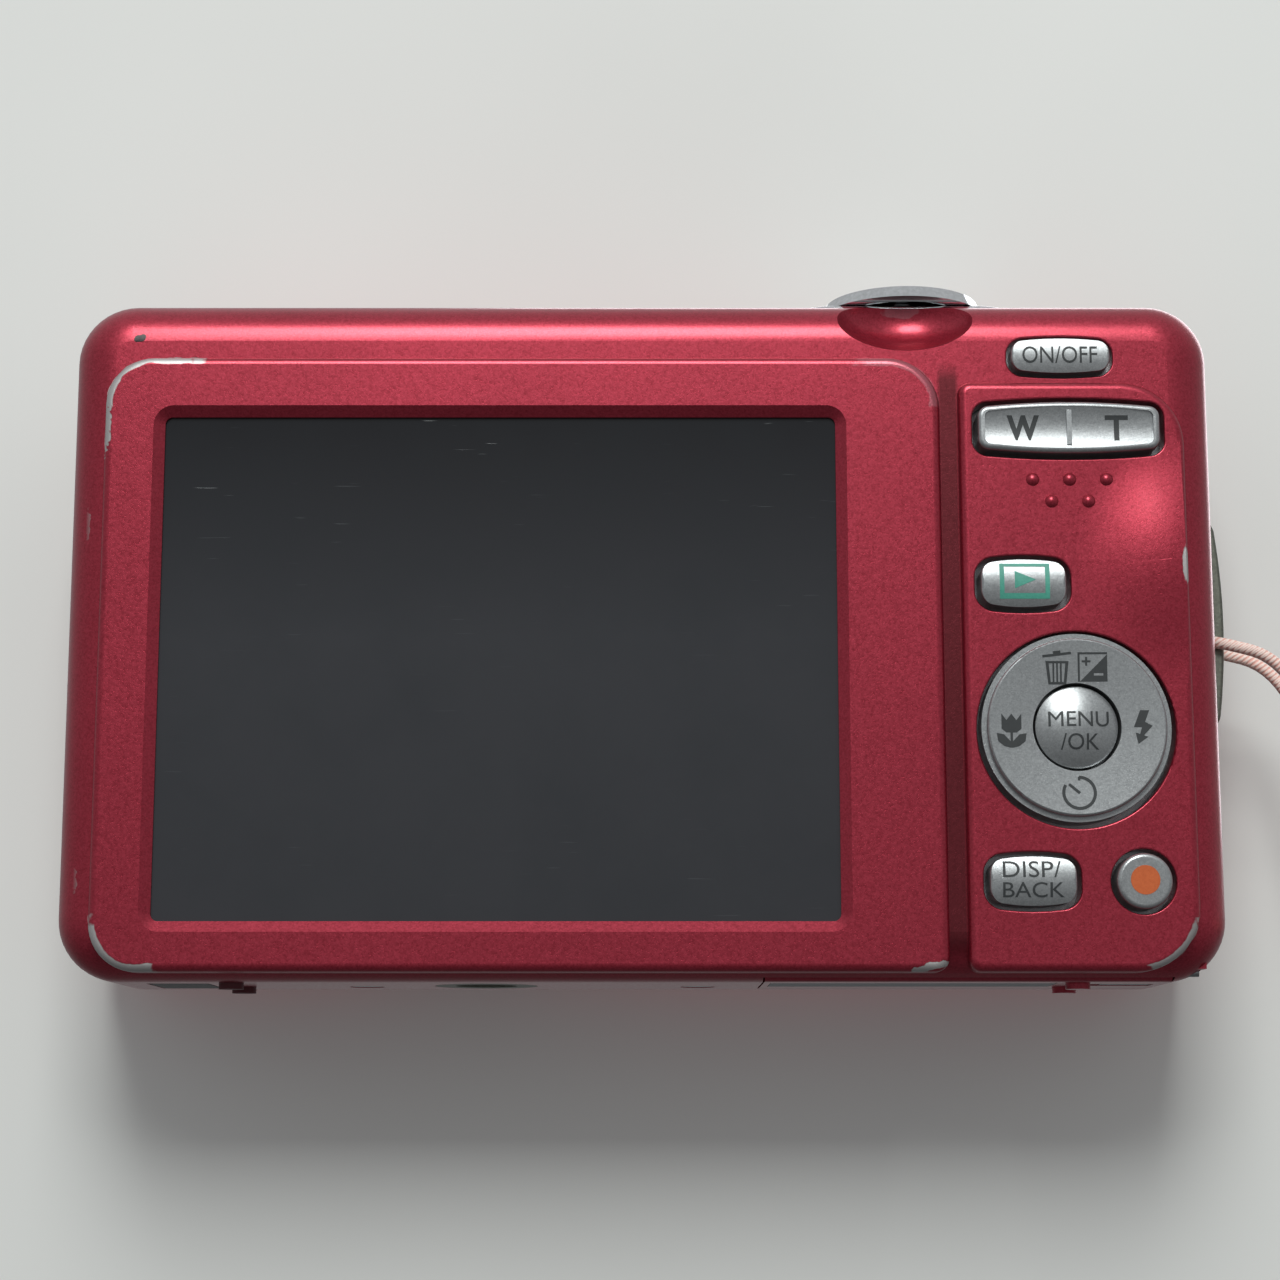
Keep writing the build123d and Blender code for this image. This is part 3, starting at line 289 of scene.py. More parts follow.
sheen = add(tree, "MapRange", None, i0=fine, i1=0.3, i2=0.7, i3=0.29, i4=0.38).outputs[0]
sheen = add(
    tree, "Math", plus, i0=sheen, i1=add(tree, "Math", times, i0=worn, i1=0.15).outputs[0],
).outputs[0]
tree.links.new(sheen, shader.inputs["Roughness"])
facets = add(tree, "Math", times, i0=sparkle, i1=0.5).outputs[0]
height = add(tree, "Math", plus, i0=facets, i1=fine).outputs[0]
height = add(
    tree, "Math", minus, i0=height, i1=add(tree, "Math", times, i0=worn, i1=2.5).outputs[0],
).outputs[0]
relief = add(tree, "Bump", None, Strength=0.45, Distance=0.008 * mm, Height=height)
tree.links.new(relief.outputs["Normal"], shader.inputs["Normal"])
paints["shell_red"] = paint

# Screen window: acrylic with a hard anti-reflection coat over a dark panel. Smooth and nearly black, with
# hairline scratches and dust that catch the light.
paint, tree, shader = material("hard_coated_screen_acrylic", IOR=1.4)
place = add(tree, "TexCoord").outputs["Object"]
axes = add(tree, "SeparateXYZ", None, i0=place)


def hairline(turn, seed, length_mm, width_mm, cut):
    """Sparse scratches: noise stretched along one direction and cut near its peaks."""
    turned = add(tree, "Mapping", None, Vector=place)
    turned.inputs["Location"].default_value = (seed, 0, seed)
    turned.inputs["Rotation"].default_value = (0, math.radians(turn), 0)
    turned.inputs["Scale"].default_value = (1 / (length_mm * mm), 1.0, 1 / (width_mm * mm))
    lumps = add(tree, "TexNoise", None, Vector=turned.outputs[0], Scale=1.0, Detail=1.0)
    return add(
        tree, "MapRange", None, i0=lumps.outputs["Fac"], i1=cut, i2=cut + 0.04, i3=0.0, i4=1.0,
    ).outputs[0]


scratches = most(
    tree,
    [
        hairline(12, 0.31, 5.0, 0.22, 0.735), hairline(-38, 0.77, 4.0, 0.22, 0.745),
        hairline(68, 0.53, 4.5, 0.22, 0.74),
    ],
)
patches = add(
    tree, "MapRange", None,
    i0=add(
        tree, "TexNoise", None, Vector=place, Scale=1.0 / (16.0 * mm), Detail=2.0, Roughness=0.5,
    ).outputs["Fac"],
    i1=0.42, i2=0.62, i3=0.0, i4=1.0,
).outputs[0]
upper = add(
    tree, "MapRange", None, i0=axes.outputs["Z"], i1=30 * mm, i2=46 * mm, i3=0.25, i4=1.0,
).outputs[0]
scratches = add(
    tree, "Math", times, i0=add(tree, "Math", times, i0=scratches, i1=patches).outputs[0],
    i1=upper,
).outputs[0]
motes = add(tree, "TexVoronoi", {"feature": "F1"}, Vector=place, Scale=1 / (3.4 * mm))
mote = add(
    tree, "Math", times,
    i0=add(
        tree, "MapRange", None, i0=motes.outputs["Distance"], i1=0.025, i2=0.05, i3=1.0, i4=0.0,
    ).outputs[0],
    i1=add(
        tree, "MapRange", None,
        i0=add(tree, "SeparateColor", None, i0=motes.outputs["Color"]).outputs[1], i1=0.35,
        i2=0.45, i3=0.0, i4=1.0,
    ).outputs[0],
).outputs[0]
# Painted reflection: the screen's own colour runs from a lighter grey at the bottom to near black at the
# top, standing in for the brighter reflection on its lower part.
dark = add(
    tree, "Mix", tint,
    i0=add(tree, "MapRange", None, i0=axes.outputs["Z"], i1=28 * mm, i2=49 * mm, i3=0.0, i4=1.0).outputs[0],
    i6=linear("36373B"), i7=linear("111216"),
).outputs[2]
dark = add(
    tree, "Mix", tint,
    i0=add(
        tree, "MapRange", None,
        i0=add(
            tree, "TexNoise", None, Vector=place, Scale=1.0 / (9.0 * mm), Detail=4.0,
            Roughness=0.6,
        ).outputs["Fac"],
        i1=0.4, i2=0.7, i3=0.0, i4=0.2,
    ).outputs[0],
    i6=dark, i7=linear("24282C"),
).outputs[2]
dark = add(
    tree, "Mix", tint, i0=add(tree, "Math", times, i0=scratches, i1=0.35).outputs[0], i6=dark,
    i7=linear("8A9094"),
).outputs[2]
dark = add(
    tree, "Mix", tint, i0=add(tree, "Math", times, i0=mote, i1=0.5).outputs[0], i6=dark,
    i7=linear("9AA0A4"),
).outputs[2]
tree.links.new(dark, shader.inputs["Base Color"])
tree.links.new(
    add(tree, "MapRange", None, i0=scratches, i1=0.0, i2=1.0, i3=0.16, i4=0.4).outputs[0],
    shader.inputs["Roughness"],
)
relief = add(
    tree, "Bump", None, Strength=0.4, Distance=0.01 * mm,
    Height=add(tree, "Math", times, i0=scratches, i1=-1.0).outputs[0],
)
tree.links.new(relief.outputs["Normal"], shader.inputs["Normal"])
paints["screen_glass"] = paint


def silver_paint(name, low, high, metallic, rough_low, rough_high, flake_mm=0.13, depth=0.008):
    """Metallic silver: flake seen as fine grain in colour, gloss and height."""
    made, tree, shader = material(name, Metallic=metallic)
    place = add(tree, "TexCoord").outputs["Object"]
    flake = add(tree, "TexVoronoi", {"feature": "F1"}, Vector=place, Scale=1 / (flake_mm * mm))
    sparkle = add(tree, "SeparateColor", None, i0=flake.outputs["Color"]).outputs[0]
    fine = add(
        tree, "TexNoise", None, Vector=place, Scale=1.0 / (0.25 * mm), Detail=3.0, Roughness=0.6,
    ).outputs["Fac"]
    share = add(
        tree, "Math", plus, i0=add(tree, "Math", times, i0=sparkle, i1=0.6).outputs[0],
        i1=add(tree, "Math", times, i0=fine, i1=0.4).outputs[0],
    ).outputs[0]
    tree.links.new(
        add(tree, "Mix", tint, i0=share, i6=linear(low), i7=linear(high)).outputs[2],
        shader.inputs["Base Color"],
    )
    tree.links.new(
        add(tree, "MapRange", None, i0=fine, i1=0.3, i2=0.7, i3=rough_low, i4=rough_high).outputs[0],
        shader.inputs["Roughness"],
    )
    relief = add(tree, "Bump", None, Strength=0.5, Distance=depth * mm, Height=share)
    tree.links.new(relief.outputs["Normal"], shader.inputs["Normal"])
    return made


# Silver-painted moulded keys: satin, with a fine sandy grain.
paints["key_silver"] = silver_paint(
    "silver_painted_keys", "949799", "B2B5B7", 0.8, 0.28, 0.36, 0.1, 0.005,
)
# Telescoping barrels: fine-turned anodised aluminium, an even satin.
paints["barrel_silver"] = silver_paint(
    "anodised_aluminium_barrels", "A4A7AA", "C4C7CA", 0.9, 0.32, 0.4, 0.2, 0.004,
)
# Bow of the strap: sand-blasted die-cast zinc, dull and a little uneven.
paints["lug_metal"] = silver_paint(
    "blasted_zinc", "666860", "84867C", 0.85, 0.42, 0.52, 0.2, 0.01,
)
# Grey parts of the bottom: silver-grey moulded ABS with a spark-eroded texture.
paints["grey_plastic"] = silver_paint(
    "silver_grey_abs", "7A7C80", "9A9CA0", 0.25, 0.45, 0.55, 0.3, 0.015,
)


def plain_finish(name, low, high, grain_mm, rough_low, rough_high, depth, **sockets):
    """One surface whose colour, gloss and height vary with grain."""
    made, tree, shader = material(name, **sockets)
    place = add(tree, "TexCoord").outputs["Object"]
    fine = add(
        tree, "TexNoise", None, Vector=place, Scale=1.0 / (grain_mm * mm), Detail=4.0,
        Roughness=0.6,
    ).outputs["Fac"]
    wide = add(
        tree, "TexNoise", None, Vector=place, Scale=1.0 / (grain_mm * 30 * mm), Detail=2.0,
        Roughness=0.5,
    ).outputs["Fac"]
    share = add(
        tree, "Math", plus, i0=add(tree, "Math", times, i0=fine, i1=0.6).outputs[0],
        i1=add(tree, "Math", times, i0=wide, i1=0.4).outputs[0],
    ).outputs[0]
    tree.links.new(
        add(
            tree, "Mix", tint,
            i0=add(tree, "MapRange", None, i0=share, i1=0.3, i2=0.7, i3=0.0, i4=1.0).outputs[0],
            i6=linear(low), i7=linear(high),
        ).outputs[2],
        shader.inputs["Base Color"],
    )
    tree.links.new(
        add(tree, "MapRange", None, i0=fine, i1=0.3, i2=0.7, i3=rough_low, i4=rough_high).outputs[0],
        shader.inputs["Roughness"],
    )
    relief = add(tree, "Bump", None, Strength=0.5, Distance=depth * mm, Height=fine)
    tree.links.new(relief.outputs["Normal"], shader.inputs["Normal"])
    return made


# Chrome-plated ABS: mirror bright, with the faintest haze from handling.
paints["chrome_trim"] = plain_finish(
    "chrome_plated_abs", "C8CACC", "E2E4E6", 0.4, 0.07, 0.13, 0.002, Metallic=1.0,
)
# Rolled stainless sheet and screws: a soft grey shine.
paints["steel"] = plain_finish(
    "rolled_stainless_steel", "8C8E90", "A8AAAC", 0.15, 0.28, 0.38, 0.004, Metallic=1.0,
)
# Snap domes: thin spring steel, brighter than the sheet.
paints["dome_steel"] = plain_finish(
    "spring_steel_domes", "B4B6B8", "CACCCE", 0.15, 0.2, 0.28, 0.003, Metallic=1.0,
)
# Black moulded ABS with a fine spark-eroded texture.
paints["black_plastic"] = plain_finish(
    "black_moulded_abs", "16171A", "26282C", 0.2, 0.42, 0.55, 0.015, IOR=1.53,
)
# Orange POM of the battery catch: waxy, smooth.
paints["orange_plastic"] = plain_finish(
    "orange_pom", "C05A22", "D87434", 0.5, 0.35, 0.42, 0.006, IOR=1.48,
)
# Dark red elastomer feet: dull, slightly rough.
paints["foot_rubber"] = plain_finish(
    "dark_red_elastomer", "470E18", "5E1622", 0.2, 0.5, 0.62, 0.02, IOR=1.52,
)
# Glass-epoxy circuit board under solder mask: green, semi-gloss.
paints["board_green"] = plain_finish(
    "solder_masked_glass_epoxy", "164A2E", "246A44", 0.25, 0.3, 0.42, 0.01, IOR=1.55,
)
# Packaged parts: dark moulded ceramic and epoxy.
paints["ceramic_dark"] = plain_finish(
    "dark_moulded_ceramic", "232325", "343436", 0.3, 0.4, 0.5, 0.01, IOR=1.6,
)
# Shrink sleeve on the flash capacitor: black glossy polyester film.
paints["capacitor_sleeve"] = plain_finish(
    "black_shrink_film", "101218", "1A1D24", 0.6, 0.18, 0.26, 0.004, IOR=1.6,
)

# Coated optical glass and the clear covers: a pale blue-violet bloom over dark depth.
paint, tree, shader = material(
    "coated_optical_glass", IOR=1.52, Roughness=0.06, Coat_Weight=0.6, Coat_Roughness=0.03,
    Transmission_Weight=0.55,
)
place = add(tree, "TexCoord").outputs["Object"]
bloom = add(
    tree, "TexNoise", None, Vector=place, Scale=1.0 / (5.0 * mm), Detail=2.0, Roughness=0.5,
).outputs["Fac"]
tree.links.new(
    add(tree, "Mix", tint, i0=bloom, i6=linear("8E9CB8"), i7=linear("C2C8DC")).outputs[2],
    shader.inputs["Base Color"],
)
relief = add(
    tree, "Bump", None, Strength=0.2, Distance=0.002 * mm,
    Height=add(
        tree, "TexNoise", None, Vector=place, Scale=1.0 / (1.0 * mm), Detail=2.0, Roughness=0.5,
    ).outputs["Fac"],
)
tree.links.new(relief.outputs["Normal"], shader.inputs["Normal"])
paints["optics_glass"] = paint

# Printed legends: dark grey pad-printing ink, matt and slightly mottled.
ink = plain_finish("dark_grey_printing_ink", "26292B", "34383A", 0.2, 0.5, 0.6, 0.004, IOR=1.5)
# The playback sign is printed in teal, the movie dot in orange.
teal_ink = plain_finish("teal_printing_ink", "3E8E7E", "52A894", 0.2, 0.45, 0.55, 0.004, IOR=1.5)
orange_ink = plain_finish(
    "orange_printing_ink", "B8521F", "CE6630", 0.2, 0.45, 0.55, 0.004, IOR=1.5,
)


def woven_cord(name, rib_mm, around_mm, low, high):
    """Braided polyester: two sets of slanted ribs that cross, with fuzz on them."""
    made, tree, shader = material(name, Roughness=0.82, Sheen_Weight=0.35, Sheen_Roughness=0.5)
    shader.inputs["Sheen Tint"].default_value = linear("F0D8CE")
    place = add(tree, "TexCoord").outputs["Object"]
    waves = []
    for turn in (52, -52):
        turned = add(tree, "Mapping", None, Vector=place)
        turned.inputs["Rotation"].default_value = (
            math.radians(turn), math.radians(20), math.radians(turn),
        )
        wave = add(
            tree, "TexWave", {"wave_type": "BANDS", "bands_direction": "X"},
            Vector=turned.outputs[0], Scale=0.314 / (rib_mm * mm), Distortion=1.2, Detail=1.0,
        )
        waves.append(wave.outputs["Fac"])
    rib = add(tree, "Math", greater, i0=waves[0], i1=waves[1]).outputs[0]
    fuzz = add(
        tree, "TexNoise", None, Vector=place, Scale=1.0 / (around_mm * mm), Detail=3.0,
        Roughness=0.5,
    ).outputs["Fac"]
    share = add(
        tree, "Math", times,
        i0=add(tree, "MapRange", None, i0=rib, i1=0.3, i2=1.0, i3=0.0, i4=1.0).outputs[0],
        i1=add(tree, "MapRange", None, i0=fuzz, i1=0.2, i2=0.7, i3=0.6, i4=1.0).outputs[0],
    ).outputs[0]
    tree.links.new(
        add(tree, "Mix", tint, i0=share, i6=linear(low), i7=linear(high)).outputs[2],
        shader.inputs["Base Color"],
    )
    relief = add(tree, "Bump", None, Strength=0.7, Distance=0.08 * mm, Height=rib)
    tree.links.new(relief.outputs["Normal"], shader.inputs["Normal"])
    return made


# Thin loop of the wrist strap: tight polyester braid, rose beige, ribs about 0.35 mm.
paints["strap_fabric"] = woven_cord("rose_polyester_braid", 0.35, 0.15, "EEB4A8", "FFF0E8")
wrist_braid = woven_cord("rose_polyester_wrist_braid", 0.6, 0.2, "E6AEA2", "FFECE4")

# Every CAD node gets the finish of its material slot.
for part in frame["record"]["subparts"]:
    body_part = frame["nodes"][part["node"]]
    for holder in body_part.material_slots:
        holder.material = paints[part["material_slot"]]


# ---------------------------------------------------------------- strap
def laid_cord(name, points, diameter, finish):
    """A smooth cord through its route; the points are the spline's control points."""
    line = bpy.data.curves.new(name, "CURVE")
    line.dimensions = "3D"
    spline = line.splines.new("NURBS")
    spline.points.add(len(points) - 1)
    for point, spot_mm in zip(spline.points, points):
        point.co = (*at(*spot_mm), 1.0)
    spline.order_u = 3
    spline.use_endpoint_u = True
    spline.resolution_u = 10
    line.bevel_depth = diameter / 2 * mm
    line.bevel_resolution = 6
    line.use_fill_caps = True
    line.materials.append(finish)
    made = bpy.data.objects.new(name, line)
    bpy.context.scene.collection.objects.link(made)
    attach(made, "root")
    return made


# The thin loop leaves the ferrule, rises, passes behind the bow and comes back beside itself.
loop_route = [
    (-64.05, -0.5, 1.7), (-57.75, -0.45, 1.6), (-56.95, -0.25, 13.8), (-54.2, 0.6, 27.6),
    (-45.9, 1.2, 29.6), (-45.9, -3.6, 29.6), (-54.2, -3.0, 27.6), (-56.95, -2.15, 13.8),
    (-57.75, -1.95, 1.6), (-64.05, -1.9, 1.7),
]
# The wrist cord: out of the ferrule, one and a half turns on the surface, and back into the ferrule.
wrist_route = [
    (-68.05, 0.15, 1.7), (-76.25, 0.15, 1.25), (-85.7, 14.7, 1.15), (-93.65, 14.7, 1.15),
    (-98.85, 7.7, 1.15), (-98.85, -10.1, 1.15), (-91.85, -17.1, 1.15), (-79.85, -17.1, 2.75),
    (-72.85, -10.1, 4.35), (-72.85, 7.7, 4.35), (-79.85, 14.7, 3.7), (-91.85, 14.7, 3.7),
    (-98.85, 7.7, 3.7), (-98.85, -6.8, 3.7), (-91.85, -13.8, 3.2), (-83.55, -13.8, 2.05),
    (-76.25, -2.55, 1.25), (-68.05, -2.55, 1.7),
]
thin_loop = laid_cord("strap_loop_cord", loop_route, 1.0, paints["strap_fabric"])
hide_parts("strap_loop")
wrist_cord = laid_cord("strap_wrist_cord", wrist_route, 2.2, wrist_braid)
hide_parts("strap_cord")

# ---------------------------------------------------------------- printed legends
# Rows and middles of the keys, and the radii in mm of their crowns and dishes. Each top gives the depth y in
# mm over the rear face at a place, so that the ink follows it.
key_row = {"power": 51.4, "playback": 32.2, "back": 8.2, "rocker": 45.1}
ring_x, ring_z = -33.6, 20.5
key_top = 11.9
power_crown, pill_crown, ok_dome = 5.0, 5.5, 7.5
rocker_dish, rocker_floor = 6.0, 11.6
ring_dish, ring_floor = 86.4, 11.55
ok_peak = 12.05


def crowned(peak, radius, row):
    """Top of a key that is a lying cylinder along x."""
    return lambda x, z: peak - radius + math.sqrt(radius ** 2 - (z - row) ** 2)


power_top = crowned(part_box("power_button")[1][1] / mm, power_crown, key_row["power"])
playback_top = crowned(key_top, pill_crown, key_row["playback"])
back_top = crowned(key_top, pill_crown, key_row["back"])


def rocker_top(x, z):
    return rocker_floor + rocker_dish - math.sqrt(rocker_dish ** 2 - (z - key_row["rocker"]) ** 2)


def ring_top(x, z):
    return ring_floor + ring_dish - math.sqrt(ring_dish ** 2 - (x - ring_x) ** 2 - (z - ring_z) ** 2)


def ok_top(x, z):
    return ok_peak - ok_dome + math.sqrt(ok_dome ** 2 - (x - ring_x) ** 2 - (z - ring_z) ** 2)


def record_top(x, z):
    return key_top


# The ink stands this far over the key, in mm, and reaches this far into it.
ink_rise = 0.03
ink_root = 0.05
# A print is cut into strips this wide, in mm, so that it bends with the key.
print_step = 0.25


def place_print(name, mesh, cx, cz, top, body, finish):
    """Bends a flat print, drawn in mm with x to the reader's right, onto a key top and rides it there."""
    shape = bmesh.new()
    shape.from_mesh(mesh)
    for axis in (0, 1):
        reach = math.ceil(max(abs(vertex.co[axis]) for vertex in shape.verts) / print_step)
        across = Vector((1 - axis, axis, 0))
        for step in range(-reach + 1, reach):
            bmesh.ops.bisect_plane(
                shape, geom=shape.verts[:] + shape.edges[:] + shape.faces[:], dist=1e-06,
                plane_co=across * step * print_step, plane_no=across,
            )
    shape.to_mesh(mesh)
    shape.free()
    for vertex in mesh.vertices:
        u, v, w = vertex.co
        x, z = cx - u, cz + v
        vertex.co = at(x, top(x, z) + (ink_rise if w > 0 else -ink_root), z)
    mesh.update()
    mesh.materials.clear()
    mesh.materials.append(finish)
    made = bpy.data.objects.new(name, mesh)
    bpy.context.scene.collection.objects.link(made)
    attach(made, body)
    return made


def lettering(name, words, cx, cz, width, height, top, body, weight=0.0):
    """Words of a given width and cap height in mm, as a thin closed mesh."""
    line = bpy.data.curves.new(name, "FONT")
    line.body = words
    line.size = 1.0
    line.offset = weight
    line.extrude = 0.5
    line.resolution_u = 4
    holder = bpy.data.objects.new(name + "_line", line)
    bpy.context.scene.collection.objects.link(holder)
    bpy.context.view_layer.update()
    mesh = bpy.data.meshes.new_from_object(
        holder.evaluated_get(bpy.context.evaluated_depsgraph_get()),
    )
    bpy.data.objects.remove(holder)
    bpy.data.curves.remove(line)
    mesh.name = name
    low = Vector([min(v.co[k] for v in mesh.vertices) for k in range(3)])
    high = Vector([max(v.co[k] for v in mesh.vertices) for k in range(3)])
    mid = (low + high) / 2
    mesh.transform(Matrix.Translation(-mid))
    mesh.transform(
        Matrix.Diagonal((width / (high.x - low.x), height / (high.y - low.y), 1.0, 1.0)),
    )
    return place_print(name, mesh, cx, cz, top, body, finish=ink)


def bar(shape, x0, z0, x1, z1):
    """Upright rectangle between two corners, in mm."""
    return outline(shape, [(x0, z0), (x1, z0), (x1, z1), (x0, z1)])


def outline(shape, corners):
    """A flat patch from its corners, given against the clock, raised to the ink's thickness."""
    face = shape.faces.new([shape.verts.new((u, v, -0.5)) for u, v in corners])
    raised = bmesh.ops.extrude_face_region(shape, geom=[face], use_keep_orig=True)
    bmesh.ops.translate(
        shape, vec=(0, 0, 1),
        verts=[g for g in raised["geom"] if isinstance(g, bmesh.types.BMVert)],
    )
    face.normal_flip()
    return shape


def arc_band(shape, cx, cz, outer, inner, start, sweep, steps=28):
    """Part of a ring, from start degrees through sweep degrees against the clock."""
    turn = math.radians(start)
    corners = ((inner, -0.5), (outer, -0.5), (outer, 0.5), (inner, 0.5))
    ends = [shape.verts.new((cx + r * math.cos(turn), cz + r * math.sin(turn), h)) for r, h in corners]
    face = shape.faces.new(ends)
    full = abs(sweep) >= 360
    bmesh.ops.spin(shape, geom=[face] + ends + face.edges[:], cent=(cx, cz, 0), axis=(0, 0, 1),
                   angle=math.radians(sweep), steps=steps, use_merge=full, use_duplicate=False)
    return shape


def sign(name, draw, cx, cz, top, body, finish=ink):
    """A printed sign drawn by draw(shape) in mm round its own centre."""
    shape = bmesh.new()
    draw(shape)
    bmesh.ops.remove_doubles(shape, verts=shape.verts, dist=1e-5)
    bmesh.ops.recalc_face_normals(shape, faces=shape.faces)
    mesh = bpy.data.meshes.new(name)
    shape.to_mesh(mesh)
    shape.free()
    return place_print(name, mesh, cx, cz, top, body, finish)


lettering("legend_power", "ON/OFF", -33.13, 51.44, 6.14, 1.42, power_top, "power")
lettering("legend_wide", "W", -29.87, 45.06, 2.64, 2.1, rocker_top, "rocker", 0.04)
lettering("legend_tele", "T", -37.48, 45.06, 1.88, 2.1, rocker_top, "rocker", 0.02)
lettering("legend_menu", "MENU", -33.72, 21.12, 4.85, 1.23, ok_top, "ok")
lettering("legend_ok", "/OK", -33.77, 19.3, 3.07, 1.3, ok_top, "ok")
lettering("legend_disp", "DISP/", -29.67, 9.13, 4.6, 1.3, back_top, "back")
lettering("legend_back", "BACK", -29.78, 7.5, 4.85, 1.2, back_top, "back")


def playback_frame(shape):
    bar(shape, -2.015, -1.45, 2.015, -1.0)
    bar(shape, -2.015, 1.19, 2.015, 1.45)
    bar(shape, -2.015, -1.0, -1.645, 1.19)
    bar(shape, 1.645, -1.0, 2.015, 1.19)
    outline(shape, [(-0.8, -0.62), (0.9, 0.1), (-0.8, 0.82)])


def waste_bin(shape):
    outline(shape, [(-0.93, 0.94), (-0.72, -0.94), (-0.5, -0.94), (-0.69, 0.94)])
    outline(shape, [(0.69, 0.94), (0.5, -0.94), (0.72, -0.94), (0.93, 0.94)])
    bar(shape, -0.5, -0.94, 0.5, -0.74)
    bar(shape, -0.69, 0.76, 0.69, 0.94)
    for x in (-0.3, 0.0, 0.3):
        bar(shape, x - 0.07, -0.74, x + 0.07, 0.76)
    outline(shape, [(-1.15, 1.22), (1.15, 1.5), (1.13, 1.7), (-1.17, 1.42)])
    outline(shape, [(-0.3, 1.53), (0.3, 1.6), (0.28, 1.8), (-0.32, 1.73)])


def exposure_sign(shape):
    side = 1.18
    bar(shape, -side, side - 0.16, side, side)
    bar(shape, -side, -side, -side + 0.16, side - 0.16)
    outline(shape, [(-side + 0.16, -side), (side, -side), (side, side - 0.16)])
    bar(shape, -0.85, 0.37, -0.15, 0.53)
    bar(shape, -0.58, 0.1, -0.42, 0.37)
    bar(shape, -0.58, 0.53, -0.42, 0.8)


def exposure_minus(shape):
    bar(shape, 0.1, -0.7, 0.85, -0.52)


def tulip(shape):
    outline(
        shape,
        [
            (-0.8, 0.15), (-0.42, -0.15), (0.42, -0.15), (0.8, 0.15), (0.8, 1.37), (0.4, 0.85),
            (0.0, 1.37), (-0.4, 0.85), (-0.8, 1.37),
        ],
    )
    bar(shape, -0.1, -1.37, 0.1, -0.15)
    outline(
        shape,
        [(-0.1, -1.37), (-0.1, -0.85), (-0.62, -0.3), (-1.2, -0.2), (-1.1, -0.85), (-0.6, -1.25)],
    )
    outline(
        shape,
        [(0.1, -0.85), (0.1, -1.37), (0.6, -1.25), (1.1, -0.85), (1.2, -0.2), (0.62, -0.3)],
    )


def flash_bolt(shape):
    outline(
        shape, [(-0.1, 1.36), (-0.62, 0.0), (0.02, 0.0), (0.86, 0.1), (0.28, 0.42), (0.62, 1.36)],
    )
    outline(shape, [(0.02, 0.0), (-0.16, -0.6), (0.12, -0.7), (0.86, 0.1)])
    outline(shape, [(-0.5, -0.42), (-0.3, -1.36), (0.5, -0.78)])


def self_timer(shape):
    arc_band(shape, 0, 0, 1.38, 1.13, 150, 300)
    outline(shape, [(-0.88, 0.62), (-0.74, 0.78), (0.12, 0.06), (-0.04, -0.12)])
    bar(shape, -0.09, 1.0, 0.09, 1.3)


sign(
    "legend_playback", playback_frame, -29.67, 32.34, playback_top, "playback",
    teal_ink,
)
sign("legend_bin", waste_bin, -32.1, 24.87, ring_top, "selector")
sign("legend_exposure", exposure_sign, -34.94, 25.34, ring_top, "selector")
sign("legend_macro", tulip, -28.34, 20.19, ring_top, "selector")
sign("legend_flash", flash_bolt, -38.73, 20.47, ring_top, "selector")
sign("legend_timer", self_timer, -33.62, 15.2, ring_top, "selector")
sign(
    "legend_minus", exposure_minus, -34.94, 25.34, lambda x, z: ring_top(x, z) + 0.012,
    "selector", paints["key_silver"],
)


def movie_dot(shape):
    disc = bmesh.ops.create_circle(
        shape, cap_ends=True, segments=40, radius=1.165, matrix=Matrix.Translation((0, 0, -0.5)),
    )
    face = disc["verts"][0].link_faces[0]
    raised = bmesh.ops.extrude_face_region(shape, geom=[face], use_keep_orig=True)
    bmesh.ops.translate(
        shape, vec=(0, 0, 1),
        verts=[g for g in raised["geom"] if isinstance(g, bmesh.types.BMVert)],
    )


sign(
    "legend_movie_dot", movie_dot, -38.61, 8.28, record_top, "record",
    orange_ink,
)


# ---------------------------------------------------------------- stage and light
# Opal acrylic with a faint glow of its own. It is clear from its back, so that it never stands between the
# object and the eye.
opal, tree, shader = material("backlit_opal_acrylic", Roughness=0.9, Emission_Strength=0.03)
place = add(tree, "TexCoord").outputs["Object"]
tone = add(
    tree, "MapRange", None,
    i0=add(
        tree, "TexNoise", None, Vector=place, Scale=1.0 / (60.0 * mm), Detail=2.0, Roughness=0.5,
    ).outputs["Fac"],
    i1=0.3, i2=0.7, i3=0.0, i4=1.0,
).outputs[0]
tree.links.new(
    add(tree, "Mix", tint, i0=tone, i6=linear("DCDDDB"), i7=linear("E2E3E1")).outputs[2],
    shader.inputs["Base Color"],
)
shader.inputs["Emission Color"].default_value = (1.0, 1.0, 0.99, 1.0)
behind = add(tree, "NewGeometry").outputs["Backfacing"]
clear = add(tree, "BsdfTransparent").outputs[0]
either = add(tree, "MixShader", None, i0=behind, i1=shader.outputs[0], i2=clear)
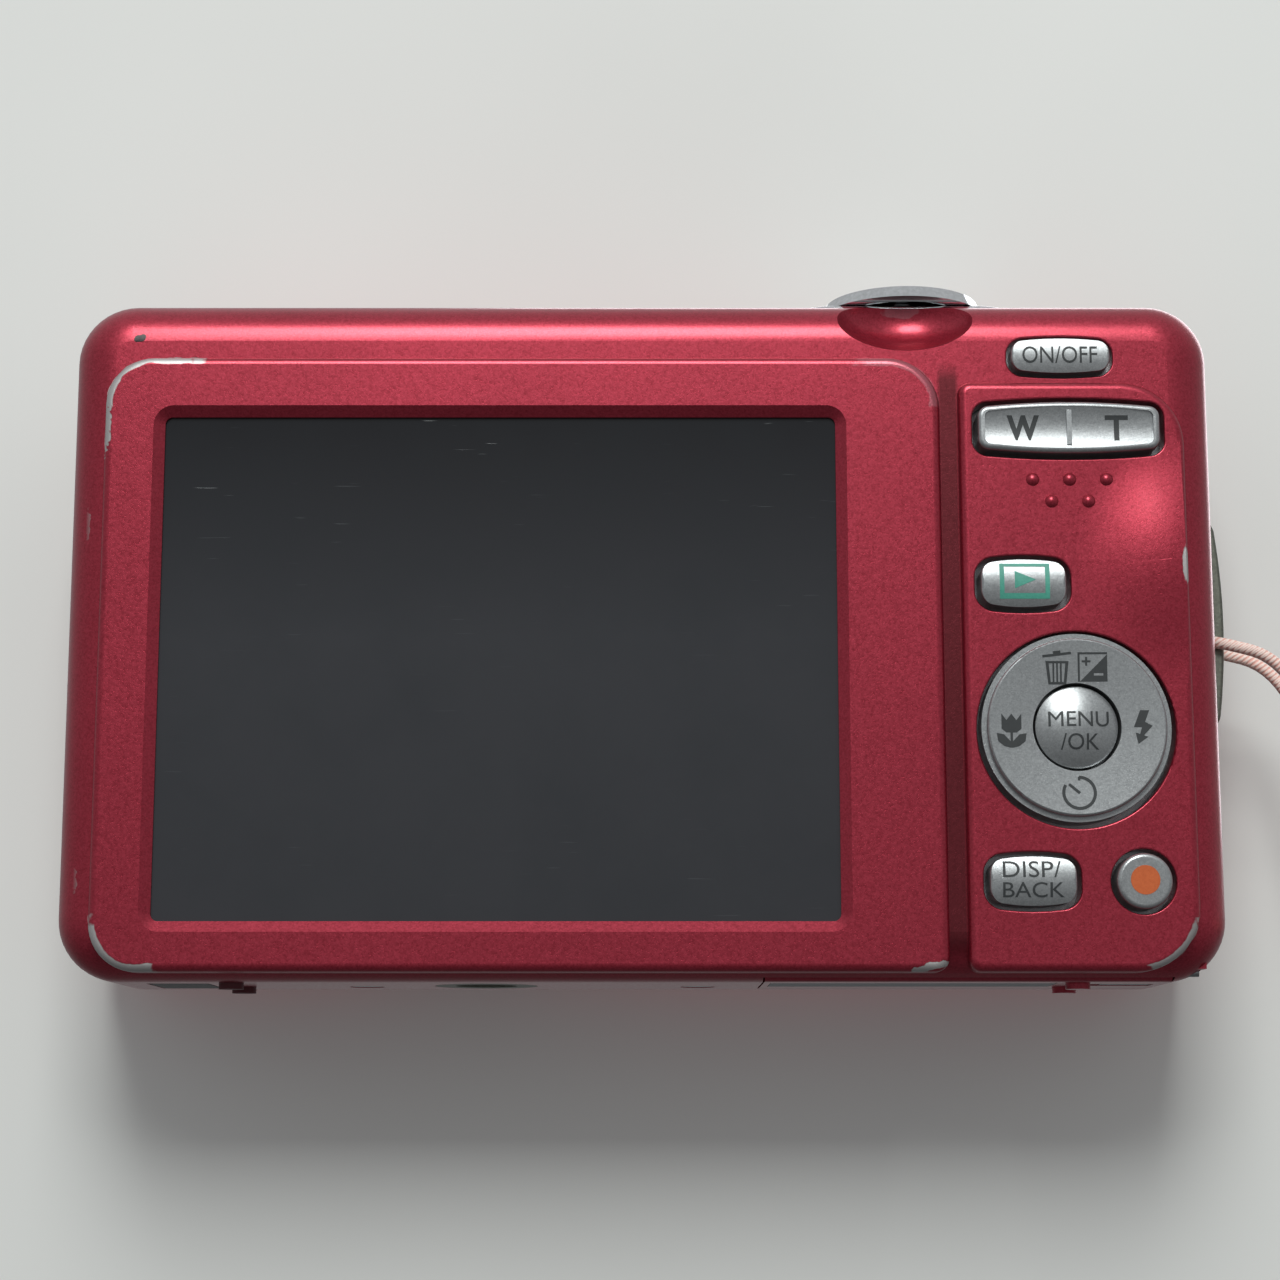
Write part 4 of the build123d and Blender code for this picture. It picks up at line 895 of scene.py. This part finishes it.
tree.links.new(either.outputs[0], tree.nodes["Material Output"].inputs["Surface"])


def opal_sheet(name, middle, half, toward):
    """A square sheet whose clear side looks away from toward."""
    shape = bmesh.new()
    turn = Vector(toward).to_track_quat("Z", "Y").to_matrix().to_4x4()
    bmesh.ops.create_grid(
        shape, x_segments=1, y_segments=1, size=half * mm,
        matrix=Matrix.Translation(at(*middle)) @ turn,
    )
    mesh = bpy.data.meshes.new(name)
    shape.to_mesh(mesh)
    shape.free()
    mesh.materials.append(opal)
    made = bpy.data.objects.new(name, mesh)
    bpy.context.scene.collection.objects.link(made)
    made.visible_diffuse = False
    made.visible_glossy = False
    made.visible_transmission = False
    made.visible_shadow = False


opal_sheet("opal_behind", (0, -11.95, 30), 900, (0, 1, 0))
opal_sheet("opal_floor", (0, 0, -0.05), 900, (0, 0, 1))


def softbox(name, spot_mm, aim_mm, wide, tall, power, hue):
    """A soft rectangular lamp that looks at a point; sizes in metres, power in watts."""
    lamp = bpy.data.lights.new(name, "AREA")
    lamp.shape = "RECTANGLE"
    lamp.size = wide
    lamp.size_y = tall
    lamp.energy = power
    lamp.color = linear(hue)[:3]
    made = bpy.data.objects.new(name, lamp)
    bpy.context.scene.collection.objects.link(made)
    made.location = at(*spot_mm)
    made.rotation_euler = (at(*aim_mm) - made.location).to_track_quat("-Z", "Y").to_euler()


softbox("window_light", (30, 600, 545), (0, 0, 20), 0.32, 0.36, 4.55, "FBFEFB")
softbox("front_fill", (-200, -520, 260), (0, 0, 27), 0.5, 0.4, 1.6, "F8FAFF")

world = bpy.data.worlds.new("pale_studio")
bpy.context.scene.world = world
world.use_nodes = True
tree = world.node_tree
rise = add(tree, "SeparateXYZ", None, i0=add(tree, "TexCoord").outputs["Generated"]).outputs["Z"]
strength = add(tree, "MapRange", None, i0=rise, i1=-0.6, i2=0.8, i3=0.16, i4=0.76).outputs[0]
tree.nodes["Background"].inputs["Color"].default_value = linear("DDDFE0")
tree.links.new(strength, tree.nodes["Background"].inputs["Strength"])
bpy.context.scene.view_settings.view_transform = "Standard"
